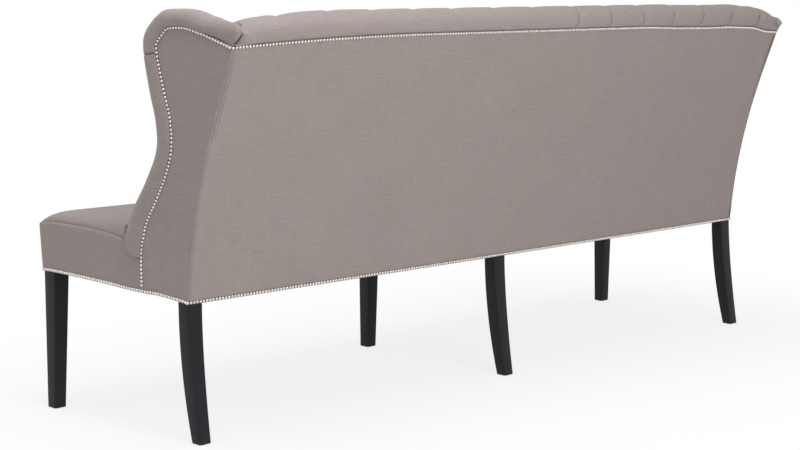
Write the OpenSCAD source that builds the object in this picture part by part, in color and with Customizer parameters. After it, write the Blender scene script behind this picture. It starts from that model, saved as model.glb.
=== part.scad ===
// Winged upholstered banquette bench: timber frame, boxed seat, buttoned back and nailed covers.
// The front faces -Y, the floor is Z = 0, and left and right are as seen from in front of the bench.

/* [Seat] */
// Width across the front of the seat
front_w = 2293; // [2200:1:2420]
// Width across the rear lower corners
rear_w = 2220; // [2120:1:2300]
// Depth from the front of the seat to the rear lower corners
seat_run = 565; // [510:1:640]
// How far the front face leans out from its lower edge to the seat edge
front_lean = 10; // [2:1:20]
// Height of the covers' lower edge along the front
edge_front_z = 369; // [345:1:385]
// Height of the covers' lower edge along the back
edge_rear_z = 340; // [320:1:360]
// Height of the seam along the top of each end panel
seam_z = 497; // [485:1:520]
// Rise of the seat above that seam
seat_crown = 22; // [12:1:30]
// Radius of the seat's front edge
front_round = 30; // [20:1:40]
// Radius of the seat's end edges
end_round = 34; // [20:1:50]

/* [Back] */
// Rake of the back below the seat, in degrees
rake_low = 8.25; // [5:0.25:11]
// Rake of the upper back, in degrees
rake_high = 20.5; // [16:0.25:24]
// Height over which the back bends from one rake to the other
bend_run = 340; // [260:1:400]
// Height of the top of the nailed line along the middle of the outside back
nail_z = 978; // [958:1:982]
// How far that line drops towards the corners
nail_drop = 22; // [5:1:30]
// Height of the top roll
roll_top_z = 1038; // [1030:1:1060]
// Radius of the top roll
roll_r = 52; // [46:1:56]
// How far the roll stands out behind the line of the back
roll_proud = 2; // [0:0.5:6]
// How far the top roll drops towards the corners
roll_drop = 28; // [10:1:34]
// Length of roll at each end over which it drops
drop_run = 350; // [200:1:450]
// Thickness of the padding on the inside back
back_pad_t = 58; // [48:1:70]

/* [Wings] */
// Depth of the wing at its widest, forward of the back
wing_depth = 322; // [290:1:340]
// Height of the wing's top
wing_top_z = 1040; // [1030:1:1060]
// Thickness of the wing's timber panel
wing_panel_t = 22; // [18:1:25]
// Thickness of the padding on the inside of the wing
wing_pad_t = 35; // [26:1:44]
// Thickness of the padding round the wing's edge
wing_edge_t = 14; // [10:1:18]
// Width of the wing's border, as a share of the wing's height
wing_face_share = 0.1; // [0.09:0.002:0.106]
// How far that border bulges out of the end
wing_bulge = 8; // [4:1:12]

/* [Frame] */
// Thickness of the front, end and cross rails
rail_t = 30; // [24:1:36]
// Height of the top of the seat rails
rail_top_z = 440; // [430:1:450]
// Depth of the cross rails
cross_rail_h = 60; // [45:1:68]
// Width of the back posts
post_w = 30; // [24:1:36]
// Depth of the back posts and of the rear rail
post_d = 40; // [34:1:44]
// Height of the back's top rail
top_rail_h = 50; // [40:1:60]
// Height of the lower back rail
low_rail_h = 50; // [40:1:56]
// How far the lower back rail is let into the posts
low_rail_t = 20; // [15:1:24]
// Height of the lower back rail above the seat rails
low_rail_up = 35; // [25:1:50]
// Leg of each corner block along the rails
block_w = 90; // [60:1:120]
// Height of the corner blocks
block_h = 50; // [40:1:60]

/* [Legs] */
// Width of a front leg at its top
front_leg_top = 46; // [40:1:52]
// Width of a front leg at the floor
front_leg_foot = 34; // [28:1:40]
// Width of a rear leg at its top
rear_leg_top = 45; // [40:1:52]
// Width of a rear leg at the floor
rear_leg_foot = 34; // [28:1:40]
// Front to back depth of a rear leg at its top
rear_leg_top_d = 38; // [34:1:42]
// Front to back depth of a rear leg at the floor
rear_leg_foot_d = 32; // [26:1:38]
// How far a rear leg sweeps back
rear_sweep = 40; // [20:1:60]
// How far the end legs stand in from the faces of the covers
leg_inset = 4; // [2:0.5:10]
// Radius of the hanger bolts
bolt_r = 4; // [3:0.5:5]
// Length of a hanger bolt on each side of the joint
bolt_half = 35; // [25:1:45]
// Radius of the floor glides
glide_r = 11; // [8:0.5:13]
// Thickness of the floor glides
glide_t = 2; // [1.5:0.5:4]

/* [Upholstery] */
// Thickness of the cover with its wadding
cover_t = 4; // [3:0.5:6]
// Thickness of the hardboard behind the outside back
board_t = 3; // [2:0.5:4]
// Thickness of the webbing straps
web_t = 2; // [1.5:0.5:3]
// Width of a webbing strap
web_w = 60; // [50:1:70]
// Spacing of the webbing straps
web_pitch = 122; // [100:1:150]
// Thickness of the dust cover under the seat
dust_t = 1; // [0.6:0.1:2]

/* [Tufting] */
// Spacing of the buttons and pleats along the back
tuft_pitch = 146.2; // [130:0.1:165]
// Height from one row of buttons to the next
row_gap = 105; // [92:1:112]
// Rows of buttons
rows = 4; // [3:1:4]
// Height of the top row of buttons below the nailed line
top_row_down = 73; // [66:1:82]
// Depth of the pad at a button
tuft_depth = 30; // [20:1:36]
// Depth of the folds between the buttons
fold_depth = 14; // [8:1:18]
// Depth of the pleats over the top roll
pleat_depth = 8; // [4:0.5:10]
// How far the pleats are laid over to one side on the roll
pleat_lay = 36; // [0:1:40]
// Radius of the covered buttons
button_r = 11; // [8:0.5:13]

/* [Trim] */
// Width of the nail strip
strip_w = 9; // [7:0.5:11]
// Thickness of the nail strip
strip_t = 1.2; // [0.8:0.1:2]

/* [Hidden] */

// Running clearance round a piece that fits another
fit_gap = 0.3;
// Overrun of every cutting solid
over = 20;
// How the lower edge rises from the back to the front
edge_power = 1.8;
// Points along the lower edge
edge_steps = 10;
// Points along the bend of the back
bend_steps = 8;
low_tan = tan(rake_low);
high_tan = tan(rake_high);
roll_c_z = roll_top_z - roll_r;

// Layers of the back and of the wings, measured in from the outer faces
board_in = cover_t;
post_in = board_in + board_t;
web_in = post_in + post_d;
pad_in = web_in + web_t;
panel_in = cover_t;
wing_pad_in = panel_in + wing_panel_t;
wing_t = wing_pad_in + wing_pad_t;

// Run of the outside back behind its lower edge, at height z
function back_run(z) = z <= rail_top_z ? (z - edge_rear_z) * low_tan
    : z <= rail_top_z + bend_run ? back_run(rail_top_z) + (z - rail_top_z) * low_tan
        + (high_tan - low_tan) * (z - rail_top_z) * (z - rail_top_z) / (2 * bend_run)
    : back_run(rail_top_z + bend_run) + (z - rail_top_z - bend_run) * high_tan;
total_d = seat_run + back_run(roll_c_z) + roll_proud;
front_y = -total_d / 2;
back_low_y = front_y + seat_run;
front_face_y = front_y + front_lean;
function back_y(z) = back_low_y + back_run(z);

// Half width of the bench at y, and the share of a thickness that it takes along X
splay = (front_w - rear_w) / 2 / seat_run;
splay_share = sqrt(1 + splay * splay);
function half_w(y, inset = 0) = rear_w / 2 + splay * (back_low_y - y) - inset * splay_share;

// The seat's front leans out from the lower edge to the foot of its rounded edge
seat_front_share = 0.86;
front_top_z = seam_z + seat_crown * seat_front_share;
function front_at(z) = front_face_y
    - front_lean * (z - edge_front_z) / (front_top_z - front_round - edge_front_z);

// Height of the lower edge at y, along one line of short straights
edge_knots = [for (i = [0:edge_steps]) [back_low_y - seat_run * (1 - i / edge_steps),
    edge_rear_z + (edge_front_z - edge_rear_z) * (1 - pow(i / edge_steps, edge_power))]];
function edge_z(y) = lookup(y, edge_knots);
function edge_line(y1, y2, lift = 0) = concat([[y1, edge_z(y1) + lift]],
    [for (k = edge_knots) if (k[0] > y1 && k[0] < y2) [k[0], k[1] + lift]],
    [[y2, edge_z(y2) + lift]]);

// Points along the back's profile at a depth d, from height z1 to z2
bend_zs = [for (i = [0:bend_steps]) rail_top_z + bend_run * i / bend_steps];
function zs_between(z1, z2) = concat([z1], [for (z = bend_zs) if (z > z1 && z < z2) z], [z2]);
function back_line(d, z1, z2) = [for (z = zs_between(z1, z2)) [back_y(z) - d, z]];
function back_layer(d1, d2, z1, z2) = concat(back_line(d1, z1, z2), reversed(back_line(d2, z1, z2)));
function reversed(list) = [for (i = [len(list) - 1:-1:0]) list[i]];
function rest(list) = [for (i = [1:len(list) - 1]) list[i]];

// Height of the nailed line on the outside back, at x
drop_power = 1.6;
corner_half_w = half_w(back_y(nail_z));
function drop_share(x) = pow(max(0, (abs(x) - corner_half_w + drop_run) / drop_run), drop_power);
function nail_line_z(x) = nail_z - nail_drop * min(1, drop_share(x));

// A profile drawn in Y and Z, extruded along X from x1 to x2
module profile_x(points, x1, x2)
    translate([x1, 0, 0]) rotate([90, 0, 90]) linear_extrude(x2 - x1) polygon(points);

// The plan of the bench between y1 and y2, drawn in from its ends, from z1 to z2
module plan(inset, y1, y2, z1, z2)
    translate([0, 0, z1]) linear_extrude(z2 - z1) polygon([
        [-half_w(y1, inset), y1], [half_w(y1, inset), y1],
        [half_w(y2, inset), y2], [-half_w(y2, inset), y2]]);

// A layer of the right end between two depths in from its face, cut to a Y and Z profile
module end_layer(in1, in2, points) {
    ys = [for (p = points) p[0]];
    zs = [for (p = points) p[1]];
    y1 = min(ys) - over;
    y2 = max(ys) + over;
    intersection() {
        profile_x(points, 0, front_w);
        translate([0, 0, min(zs) - over]) linear_extrude(max(zs) - min(zs) + 2 * over) polygon([
            [half_w(y1, in1), y1], [half_w(y2, in1), y2], [half_w(y2, in2), y2], [half_w(y1, in2), y1]]);
    }
}

// Puts a right-hand piece on either side
module sided(side) {
    if (side > 0) children();
    else mirror([1, 0, 0]) children();
}

// Everything above the lower edge, between y1 and y2, up to a height
module above_edge(y1, y2, top_z)
    profile_x(concat(edge_line(y1, y2), [[y2, top_z], [y1, top_z]]), -front_w, front_w);

// Seat frame
front_rail_y = front_face_y + cover_t;
front_rail_in_y = front_rail_y + rail_t;
cross_rail_x = rear_w / 4;
rear_leg_c_y = back_low_y - rear_leg_top_d / 2;
front_leg_c_y = front_face_y + front_leg_top / 2;
front_leg_x = half_w(front_face_y) - leg_inset - front_leg_top / 2;
rear_leg_x = half_w(back_low_y) - leg_inset / 2 - rear_leg_top / 2;
leg_places = [[-front_leg_x, front_leg_c_y], [0, front_leg_c_y], [front_leg_x, front_leg_c_y],
    [-rear_leg_x, rear_leg_c_y], [0, rear_leg_c_y], [rear_leg_x, rear_leg_c_y]];

// Bores for the hanger bolts, through the joint between legs and rails
module bolt_bores()
    for (p = leg_places)
        translate([p[0], p[1], edge_z(p[1]) - bolt_half - fit_gap])
            cylinder(r = bolt_r + fit_gap, h = 2 * (bolt_half + fit_gap), $fn = 32);

module front_rail()
    color("burlywood") difference() {
        intersection() {
            plan(cover_t, front_rail_y, front_rail_in_y, 0, rail_top_z);
            above_edge(front_rail_y, front_rail_in_y, rail_top_z);
        }
        bolt_bores();
    }

rear_rail_y = back_y(edge_rear_z) - web_in;
module rear_rail()
    color("burlywood") difference() {
        intersection() {
            profile_x(back_layer(post_in, web_in, edge_rear_z, rail_top_z), -front_w, front_w);
            plan(cover_t, rear_rail_y - over, back_y(rail_top_z), edge_rear_z, rail_top_z);
            above_edge(rear_rail_y - over, back_y(rail_top_z), rail_top_z);
        }
        bolt_bores();
    }

// The rails that run from front to back end on the slanting face of the rear rail
function rail_outline(z_low) = concat(
    [for (p = edge_line(front_rail_in_y, back_y(edge_z(rear_rail_y)) - web_in)) [p[0], max(p[1], z_low)]],
    [[back_y(rail_top_z) - web_in, rail_top_z], [front_rail_in_y, rail_top_z]]);

module end_rail(side)
    color("burlywood") sided(side)
        end_layer(cover_t, cover_t + rail_t, rail_outline(0));

cross_z = rail_top_z - cross_rail_h;
module cross_rail(x)
    color("burlywood") profile_x([[front_rail_in_y, cross_z], [back_y(cross_z) - web_in, cross_z],
        [back_y(rail_top_z) - web_in, rail_top_z], [front_rail_in_y, rail_top_z]],
        x - rail_t / 2, x + rail_t / 2);

// Glued blocks in the corners of the seat frame, under the webbing
block_z = rail_top_z - block_h;
rear_block_y = back_y(block_z) - web_in;
module corner_block_pair(side) {
    x1 = half_w(front_rail_in_y, cover_t + rail_t);
    x2 = half_w(rear_block_y, cover_t + rail_t);
    front_x = half_w(front_rail_in_y + block_w, cover_t + rail_t);
    rear_x = half_w(rear_block_y - block_w, cover_t + rail_t);
    sided(side) translate([0, 0, block_z]) linear_extrude(block_h) {
        polygon([[x1, front_rail_in_y], [front_x, front_rail_in_y + block_w],
            [x1 - block_w, front_rail_in_y]]);
        polygon([[x2, rear_block_y], [x2 - block_w, rear_block_y],
            [rear_x, rear_block_y - block_w]]);
    }
}
module corner_blocks()
    color("tan") for (side = [-1, 1]) corner_block_pair(side);

// Legs: the front ones are square tapers, the rear ones sweep back
// The hole for a glide's pin, up from the foot at x and y
glide_pin_r = glide_r / 5;
glide_pin_h = glide_r;
module glide_hole(x, y)
    translate([x, y, 0]) cylinder(r = glide_pin_r + fit_gap, h = glide_t + glide_pin_h + fit_gap, $fn = 24);

// A leg seen from the front: the foot lies out to its side, so that an end leg's outer face
// stays upright while the inner one tapers, and a centre leg tapers on both
function leg_front_view(x, side, top, foot, top_z) = let (mid = foot_x(x, side, top, foot)) [
    [mid - foot / 2, glide_t], [mid + foot / 2, glide_t], [x + top / 2, top_z],
    [x + top / 2, top_z + over], [x - top / 2, top_z + over], [x - top / 2, top_z]];
module extrude_y(points, y1, y2)
    translate([0, y2, 0]) rotate([90, 0, 0]) linear_extrude(y2 - y1) polygon(points);
function foot_x(x, side, top, foot) = x + side * (top - foot) / 2;

module front_leg(side) {
    x = side * front_leg_x;
    y1 = front_face_y;
    y2 = front_face_y + front_leg_top;
    foot_y = front_face_y + front_leg_foot;
    color("#1b1b1f") difference() {
        intersection() {
            extrude_y(leg_front_view(x, side, front_leg_top, front_leg_foot, edge_front_z), y1, y2);
            profile_x(concat([[y1, glide_t], [foot_y, glide_t]], reversed(edge_line(y1, y2))),
                -front_w, front_w);
        }
        bolt_bores();
        glide_hole(foot_x(x, side, front_leg_top, front_leg_foot), (y1 + foot_y) / 2);
    }
}

// Rear edge and front edge of a swept rear leg, at a share s of the way down
sweep_steps = 12;
rear_edge_power = 1.5;
front_edge_power = 2;
function sweep_rear(s) = back_low_y + rear_sweep * pow(s, rear_edge_power);
function sweep_front(s) = back_low_y - rear_leg_top_d
    + (rear_sweep + rear_leg_top_d - rear_leg_foot_d) * pow(s, front_edge_power);
function sweep_z(s) = edge_rear_z + (glide_t - edge_rear_z) * s;
rear_leg_outline = concat(
    [[back_low_y - rear_leg_top_d, edge_z(back_low_y - rear_leg_top_d)]],
    [for (i = [0:sweep_steps]) [sweep_front(i / sweep_steps), sweep_z(i / sweep_steps)]],
    [for (i = [sweep_steps:-1:0]) [sweep_rear(i / sweep_steps), sweep_z(i / sweep_steps)]]);
rear_foot_y = (sweep_front(1) + sweep_rear(1)) / 2;

module rear_leg(side) {
    x = side * rear_leg_x;
    color("#1b1b1f") difference() {
        intersection() {
            extrude_y(leg_front_view(x, side, rear_leg_top, rear_leg_foot, edge_rear_z),
                back_low_y - over - rear_leg_top, back_low_y + rear_sweep + over);
            profile_x(rear_leg_outline, -front_w, front_w);
        }
        bolt_bores();
        glide_hole(foot_x(x, side, rear_leg_top, rear_leg_foot), rear_foot_y);
    }
}

// Hanger bolts: half in the leg, half in the rail
module leg_bolts()
    color("silver") for (p = leg_places)
        translate([p[0], p[1], edge_z(p[1]) - bolt_half]) cylinder(r = bolt_r, h = 2 * bolt_half, $fn = 32);

// Nail-on glides, one under each foot
glide_places = concat(
    [for (side = [-1:1]) [foot_x(side * front_leg_x, side, front_leg_top, front_leg_foot),
        front_face_y + front_leg_foot / 2]],
    [for (side = [-1:1]) [foot_x(side * rear_leg_x, side, rear_leg_top, rear_leg_foot), rear_foot_y]]);
module floor_glides()
    color("dimgray") for (p = glide_places) translate([p[0], p[1], 0]) {
        rotate_extrude($fn = 32) polygon([[0, 0], [glide_r - glide_t / 2, 0], [glide_r, glide_t / 2],
            [glide_r, glide_t], [glide_pin_r, glide_t], [glide_pin_r, glide_t + glide_pin_h],
            [0, glide_t + glide_pin_h]]);
    }

// Back frame: posts that follow the bend, with a top rail between the end posts
top_rail_z = roll_c_z;
top_rail_low_z = top_rail_z - top_rail_h;
low_rail_z = rail_top_z + low_rail_up;
low_rail_top_z = low_rail_z + low_rail_h;
module low_rail_shape(past)
    profile_x(back_layer(web_in - low_rail_t, web_in + past, low_rail_z, low_rail_top_z),
        -front_w, front_w);

module end_post(side)
    color("burlywood") difference() {
        sided(side) end_layer(wing_pad_in + fit_gap, wing_pad_in + post_w,
            back_layer(post_in, web_in, rail_top_z, top_rail_z));
        low_rail_shape(over);
    }
module mid_post(x)
    color("burlywood") difference() {
        profile_x(back_layer(post_in, web_in, rail_top_z, top_rail_low_z), x - post_w / 2, x + post_w / 2);
        low_rail_shape(over);
    }
module back_top_rail()
    color("burlywood") intersection() {
        profile_x(back_layer(post_in, web_in, top_rail_low_z, top_rail_z), -front_w, front_w);
        plan(wing_pad_in + post_w, back_y(top_rail_low_z) - web_in - over, back_y(top_rail_z),
            top_rail_low_z, top_rail_z);
    }
module back_lower_rail()
    color("burlywood") intersection() {
        low_rail_shape(0);
        plan(wing_pad_in, back_y(low_rail_z) - web_in - over, back_y(low_rail_top_z),
            low_rail_z, low_rail_top_z);
    }

// Webbing: upright straps on the back, crossing straps on the seat
straps = floor((rear_w / 2 - wing_t - web_w) / web_pitch);
web_lap = 30;
module back_webbing()
    color("#8a7f6c") for (i = [-straps:straps])
        profile_x(back_layer(web_in, pad_in, low_rail_top_z - web_lap, pad_high_z),
            i * web_pitch - web_w / 2, i * web_pitch + web_w / 2);

post_clear = post_w / 2 + web_w / 2;
mid_post_x = rear_w / 4;
function near_post(x) = abs(x) < post_clear || abs(abs(x) - mid_post_x) < post_clear;
module seat_webbing_cross()
    color("#8a7f6c") for (i = [-straps:straps]) {
        x = i * web_pitch;
        rear_end = back_y(rail_top_z) - web_in + (near_post(x) ? -fit_gap : web_lap);
        translate([x - web_w / 2, front_rail_in_y - web_lap + web_t, rail_top_z])
            cube([web_w, rear_end - front_rail_in_y + web_lap - web_t, web_t]);
    }
long_straps = 3;
long_gap = (back_y(rail_top_z) - web_in - front_rail_in_y) / (long_straps + 1);
module seat_webbing_long()
    color("#8a7f6c") for (i = [1:long_straps]) {
        y = front_rail_in_y + i * long_gap;
        half = half_w(y + web_w / 2, wing_t + 2 * fit_gap);
        translate([-half, y - web_w / 2, rail_top_z + web_t]) cube([2 * half, web_w, web_t]);
    }

// Wing: an outline drawn as shares of its depth and height. Each row holds the depth forward of
// the back, the height, the width of the padded border and the height of the pad's inner end
wing_shares = [
    [0.705, 0.000, 0.75, 0.000], [0.773, 0.069, 1.12, 0.060], [0.733, 0.179, 1.05, 0.150],
    [0.630, 0.321, 0.99, 0.265], [0.575, 0.443, 0.93, 0.370], [0.643, 0.546, 0.94, 0.460],
    [0.792, 0.670, 0.91, 0.560], [0.957, 0.823, 0.84, 0.660], [1.000, 0.917, 0.81, 0.730],
    [0.944, 0.967, 0.72, 0.770], [0.783, 0.997, 0.65, 0.800], [0.568, 0.997, 0.67, 0.830],
    [0.379, 0.982, 0.73, 0.858]];
wing_steps = 3;
wing_low_z = rail_top_z + fit_gap;
wing_h = wing_top_z - wing_low_z;

// A smooth curve through a list of points: p is the place along it, in points
function curve_at(list, p) = let (
    last = len(list) - 1,
    i = min(last - 1, floor(p)),
    t = p - i,
    a = list[max(0, i - 1)], b = list[i], c = list[i + 1], d = list[min(last, i + 2)])
    (2 * b + (c - a) * t + (2 * a - 5 * b + 4 * c - d) * t * t + (3 * b - a - 3 * c + d) * t * t * t) / 2;

wing_count = (len(wing_shares) - 1) * wing_steps;
wing_rows = [for (i = [0:wing_count]) curve_at(wing_shares, i / wing_steps)];
function row_z(share) = wing_low_z + share * wing_h;
wing_edge = [for (r = wing_rows) [back_y(row_z(r[1])) - r[0] * wing_depth, row_z(r[1])]];
wing_end_y = wing_edge[wing_count][0];
join_y = wing_edge[0][0] + face_w(0);
wing_hub = [for (i = [0:wing_count]) let (z = row_z(wing_rows[i][3]))
    [min(back_y(z) - web_in - fit_gap, wing_end_y - (wing_count - i) * fit_gap), z]];

// The way in from the wing's edge at station i: level at its foot, then square to the edge
square_steps = 3 * wing_steps;
function unit(v) = v / norm(v);
function way_in(i) = i == 0 ? [1, 0] : i == wing_count ? [0, -1]
    : let (v = unit(wing_edge[i + 1] - wing_edge[i - 1]), square = min(1, i / square_steps))
        unit([v[1], -v[0]] * square + unit(wing_hub[i] - wing_edge[i]) * (1 - square));
function face_w(i) = wing_rows[i][2] * wing_face_share * wing_h;
function in_from_edge(i, s) = wing_edge[i] + way_in(i) * s;
function wing_line(s) = [for (i = [0:wing_count]) in_from_edge(i, s)];
function nail_edge(extra) = [for (i = [0:wing_count]) in_from_edge(i, face_w(i) + extra)];

// The nailed line goes on from the last station down to the rear corner
corner_z = nail_line_z(corner_half_w);
corner_y = back_y(corner_z);
end_face_w = face_w(wing_count);
nail_end = in_from_edge(wing_count, end_face_w);

module wing_panel(side)
    color("burlywood") sided(side) end_layer(panel_in, wing_pad_in, concat(
        wing_line(wing_edge_t),
        [nail_end - [0, fit_gap]],
        reversed(back_line(post_in, rail_top_z, corner_z - fit_gap)),
        [[wing_line(wing_edge_t)[0][0], rail_top_z]]));

// The pad wraps round the panel's edge, from the nails outside to the inside back. The border
// is drawn as shares of its width and bulge, the edge as shares of its padding and of the wing
border_shares = [[0.97, 0.1], [0.78, 0.75], [0.50, 1]];
edge_shares = [[0.9, -0.09], [0.3, 0.07], [0, 0.40], [0.35, 0.75], [1, 0.94]];
inner_share = 0.7;
function pad_ring(i) = let (
    f = face_w(i),
    pocket = wing_edge_t - fit_gap,
    spots = concat(
        [[in_from_edge(i, f), 0]],
        [for (b = border_shares) [in_from_edge(i, f * b[0]), -wing_bulge * b[1]]],
        [for (e = edge_shares) [in_from_edge(i, wing_edge_t * e[0]), wing_t * e[1]]],
        [[in_from_edge(i, f * inner_share), wing_t], [wing_hub[i], wing_t],
        [wing_hub[i], wing_pad_in + fit_gap], [in_from_edge(i, pocket), wing_pad_in + fit_gap],
        [in_from_edge(i, pocket), panel_in - fit_gap], [in_from_edge(i, f), panel_in - fit_gap]]))
    [for (s = spots) [half_w(s[0][0], s[1]), s[0][0], s[0][1]]];

// Faces of a skin over rings of n points each, with both ends closed
function quad(a, b, c, d) = [[a, b, c], [a, c, d]];
function ring_faces(rings, n) = concat(
    [for (i = [0:rings - 2]) for (j = [0:n - 1]) let (k = (j + 1) % n)
        for (f = quad(i * n + j, i * n + k, (i + 1) * n + k, (i + 1) * n + j)) f],
    [[for (j = [n - 1:-1:0]) j], [for (j = [0:n - 1]) (rings - 1) * n + j]]);

module wing_pad(side) {
    rings = [for (i = [0:wing_count]) pad_ring(i)];
    color("#8f8781") sided(side)
        polyhedron([for (r = rings) for (p = r) p], ring_faces(len(rings), len(rings[0])));
}

// Seat pad: rows of points from front to back, as shares of its depth and of its rise
seat_low_z = rail_top_z + 2 * web_t + fit_gap;
seat_rear_y = back_y(seam_z) - pad_in - fit_gap;
seat_depth = seat_rear_y - front_y;
seat_arc = [0, 30, 60];
seat_shares = [[0.055, seat_front_share], [0.15, 0.97], [0.35, 1], [0.50, 0.96]];
seat_rear_shares = [[0.76, 0.60], [0.875, 0.36], [1, 0.36]];
step_share = 0.82;
step_y = min([for (p = wing_edge) if (p[1] < seam_z + seat_crown) p[0]]) - fit_gap;
function seat_row(share, rise, inset) = [front_y + seat_depth * share, seam_z + seat_crown * rise, inset];
seat_rows = concat(
    [[front_at(seat_low_z), seat_low_z + cover_t, cover_t]],
    [for (a = seat_arc) [front_y + front_round * (1 - cos(a)),
        front_top_z - front_round * (1 - sin(a)), cover_t]],
    [for (r = seat_shares) seat_row(r[0], r[1], cover_t)],
    [[step_y, seam_z + seat_crown * step_share, cover_t],
        [step_y + fit_gap, seam_z + seat_crown * step_share, wing_t + fit_gap]],
    [for (r = seat_rear_shares) seat_row(r[0], r[1], wing_t + fit_gap)]);

// The seam along the end falls towards the wing
seam_drop = 16;
seam_power = 4;
function seam_at(y) = let (run_share = max(0, min(1, (y - front_y) / (step_y - front_y))))
    seam_z - seam_drop * pow(run_share, seam_power);

// Places across the seat, as distances in from an end and then as shares of the half width
end_place_shares = [0, 0.12, 0.45, 1];
across_shares = [0.85, 0.6, 0.3, 0];
function seat_point(row, from_end, side) = let (
    round_share = sqrt(1 - pow(1 - min(1, from_end / end_round), 2)),
    low = min(row[1], seam_at(row[0])))
    [side * (half_w(row[0], row[2]) - from_end), row[0], low + (row[1] - low) * round_share];
function seat_across(row, side) = concat(
    [for (s = end_place_shares) seat_point(row, end_round * s, side)],
    [for (s = across_shares) seat_point(row, half_w(row[0], row[2]) * (1 - s), side)]);
function seat_line(row) = let (right = seat_across(row, 1), left = seat_across(row, -1), n = len(left))
    concat(left, [for (j = [n - 2:-1:0]) right[j]]);

// Faces of a closed pad: a grid of rows over a flat or curved underside given by two points a row
function grid_faces(m, n) = let (at = m * n) concat(
    [for (i = [0:m - 2]) for (j = [0:n - 2])
        for (f = quad(i * n + j, (i + 1) * n + j, (i + 1) * n + j + 1, i * n + j + 1)) f],
    [for (i = [0:m - 2]) for (f = concat(
        quad(at + 2 * i, at + 2 * i + 1, at + 2 * i + 3, at + 2 * i + 2),
        quad(at + 2 * i, at + 2 * i + 2, (i + 1) * n, i * n),
        quad(at + 2 * i + 1, i * n + n - 1, (i + 1) * n + n - 1, at + 2 * i + 3))) f],
    [concat([at + 1, at], [for (j = [0:n - 1]) j]),
        concat([at + 2 * m - 2, at + 2 * m - 1], [for (j = [n - 1:-1:0]) (m - 1) * n + j])]);

// The pad's rear end leans with the back
seat_rear_low_y = back_y(seat_low_z) - pad_in - fit_gap;
function seat_rear_at(z) = seat_rear_low_y
    + (seat_rear_y - seat_rear_low_y) * (z - seat_low_z) / (seam_z - seat_low_z);
module seat_pad() {
    last = len(seat_rows) - 1;
    lines = [for (i = [0:last]) [for (p = seat_line(seat_rows[i]))
        [p[0], i == last ? seat_rear_at(p[2]) : p[1], p[2]]]];
    under = [for (i = [0:last]) for (side = [-1, 1])
        let (y = i == last ? seat_rear_low_y : seat_rows[i][0])
        [side * half_w(y, seat_rows[i][2]), y, seat_low_z]];
    color("#938b85") polyhedron(concat([for (l = lines) for (p = l) p], under),
        grid_faces(len(lines), len(lines[0])));
}

// Inside back: buttons on a diamond lattice, with upright folds above and below it
pad_low_z = seam_z + seat_crown * seat_rear_shares[1][1] + fit_gap;
roll_low_share = 0.6;
roll_low_z = roll_c_z - roll_r * roll_low_share;
pad_high_z = roll_low_z - fit_gap;
top_row_z = nail_z - top_row_down;
low_row_z = top_row_z - (rows - 1) * row_gap;
function pad_half_w(y) = half_w(y, wing_t + fit_gap);
tuft_half_w = pad_half_w(back_y(top_row_z) - pad_in);
pleats = floor(2 * (tuft_half_w - button_r) / tuft_pitch);
pleat_even = pleats % 2 == 0;
function row_shift(row) = (pleat_even ? 1 : 0) + row;

// Depth of the tufting at x and z, 0 at the crown of a diamond
pillow_power = 0.6;
fade_run = row_gap / 3;
function tuft_at(x, z) = let (
    zi = min(top_row_z, max(low_row_z, z)),
    q = (top_row_z - zi) / (2 * row_gap),
    p = x / tuft_pitch + row_shift(0) / 2,
    pillow = pow(abs(sin(180 * (p + q)) * sin(180 * (p - q))), pillow_power),
    fade = max(0, 1 - abs(z - zi) / fade_run),
    button = pow(cos(180 * (p + q)) * cos(180 * (p - q)), 2) * (1 - pillow) * fade)
    tuft_depth * button + fold_depth * (1 - pillow) * (1 - button);

// Grid of the inside back: four columns to a button, two rows to a row of buttons
columns = floor((tuft_half_w - button_r) / (tuft_pitch / 4));
column_xs = [for (j = [-columns:columns]) j * tuft_pitch / 4];
grid_zs = concat([pad_low_z, (pad_low_z + low_row_z) / 2],
    [for (r = [2 * (rows - 1):-1:0]) top_row_z - r * row_gap / 2],
    [(top_row_z + pad_high_z) / 2, pad_high_z]);
edge_tuft_share = 0.4;
function pad_front_y(x, z) = back_y(z) - pad_in - back_pad_t + tuft_at(x, z);
function pad_row(z) = let (y = back_y(z) - pad_in - back_pad_t + fold_depth * edge_tuft_share) concat(
    [[-pad_half_w(y), y, z]], [for (x = column_xs) [x, pad_front_y(x, z), z]], [[pad_half_w(y), y, z]]);

module inside_back_pad() {
    rows_out = [for (z = grid_zs) pad_row(z)];
    under = [for (z = grid_zs) for (side = [-1, 1]) let (y = back_y(z) - pad_in - fit_gap)
        [side * pad_half_w(y), y, z]];
    color("#8b837d") polyhedron(concat([for (l = rows_out) for (p = l) p], under),
        grid_faces(len(rows_out), len(rows_out[0])));
}

// Covered buttons, each on a shank at the bottom of its tuft
function button_xs(row) = let (shift = row_shift(row) % 2 / 2, n = ceil(pleats / 2 + 1))
    [for (k = [-n:n]) let (x = (k + shift) * tuft_pitch) if (abs(x) < tuft_half_w - 2 * button_r) x];
function back_rake(z) = atan((back_y(z + fit_gap) - back_y(z - fit_gap)) / (2 * fit_gap));
button_shares = [[0, 0], [0.2, 0.25], [0.2, 0.75], [1, 1.05], [0.6, 1.3], [0, 1.4]];
module tuft_buttons()
    color("#8b837d") for (row = [0:rows - 1]) for (x = button_xs(row)) {
        z = top_row_z - row * row_gap;
        translate([x, pad_front_y(x, z) - fit_gap, z]) rotate([90 - back_rake(z), 0, 0])
            rotate_extrude($fn = 24) polygon(button_r * button_shares);
    }

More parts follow.
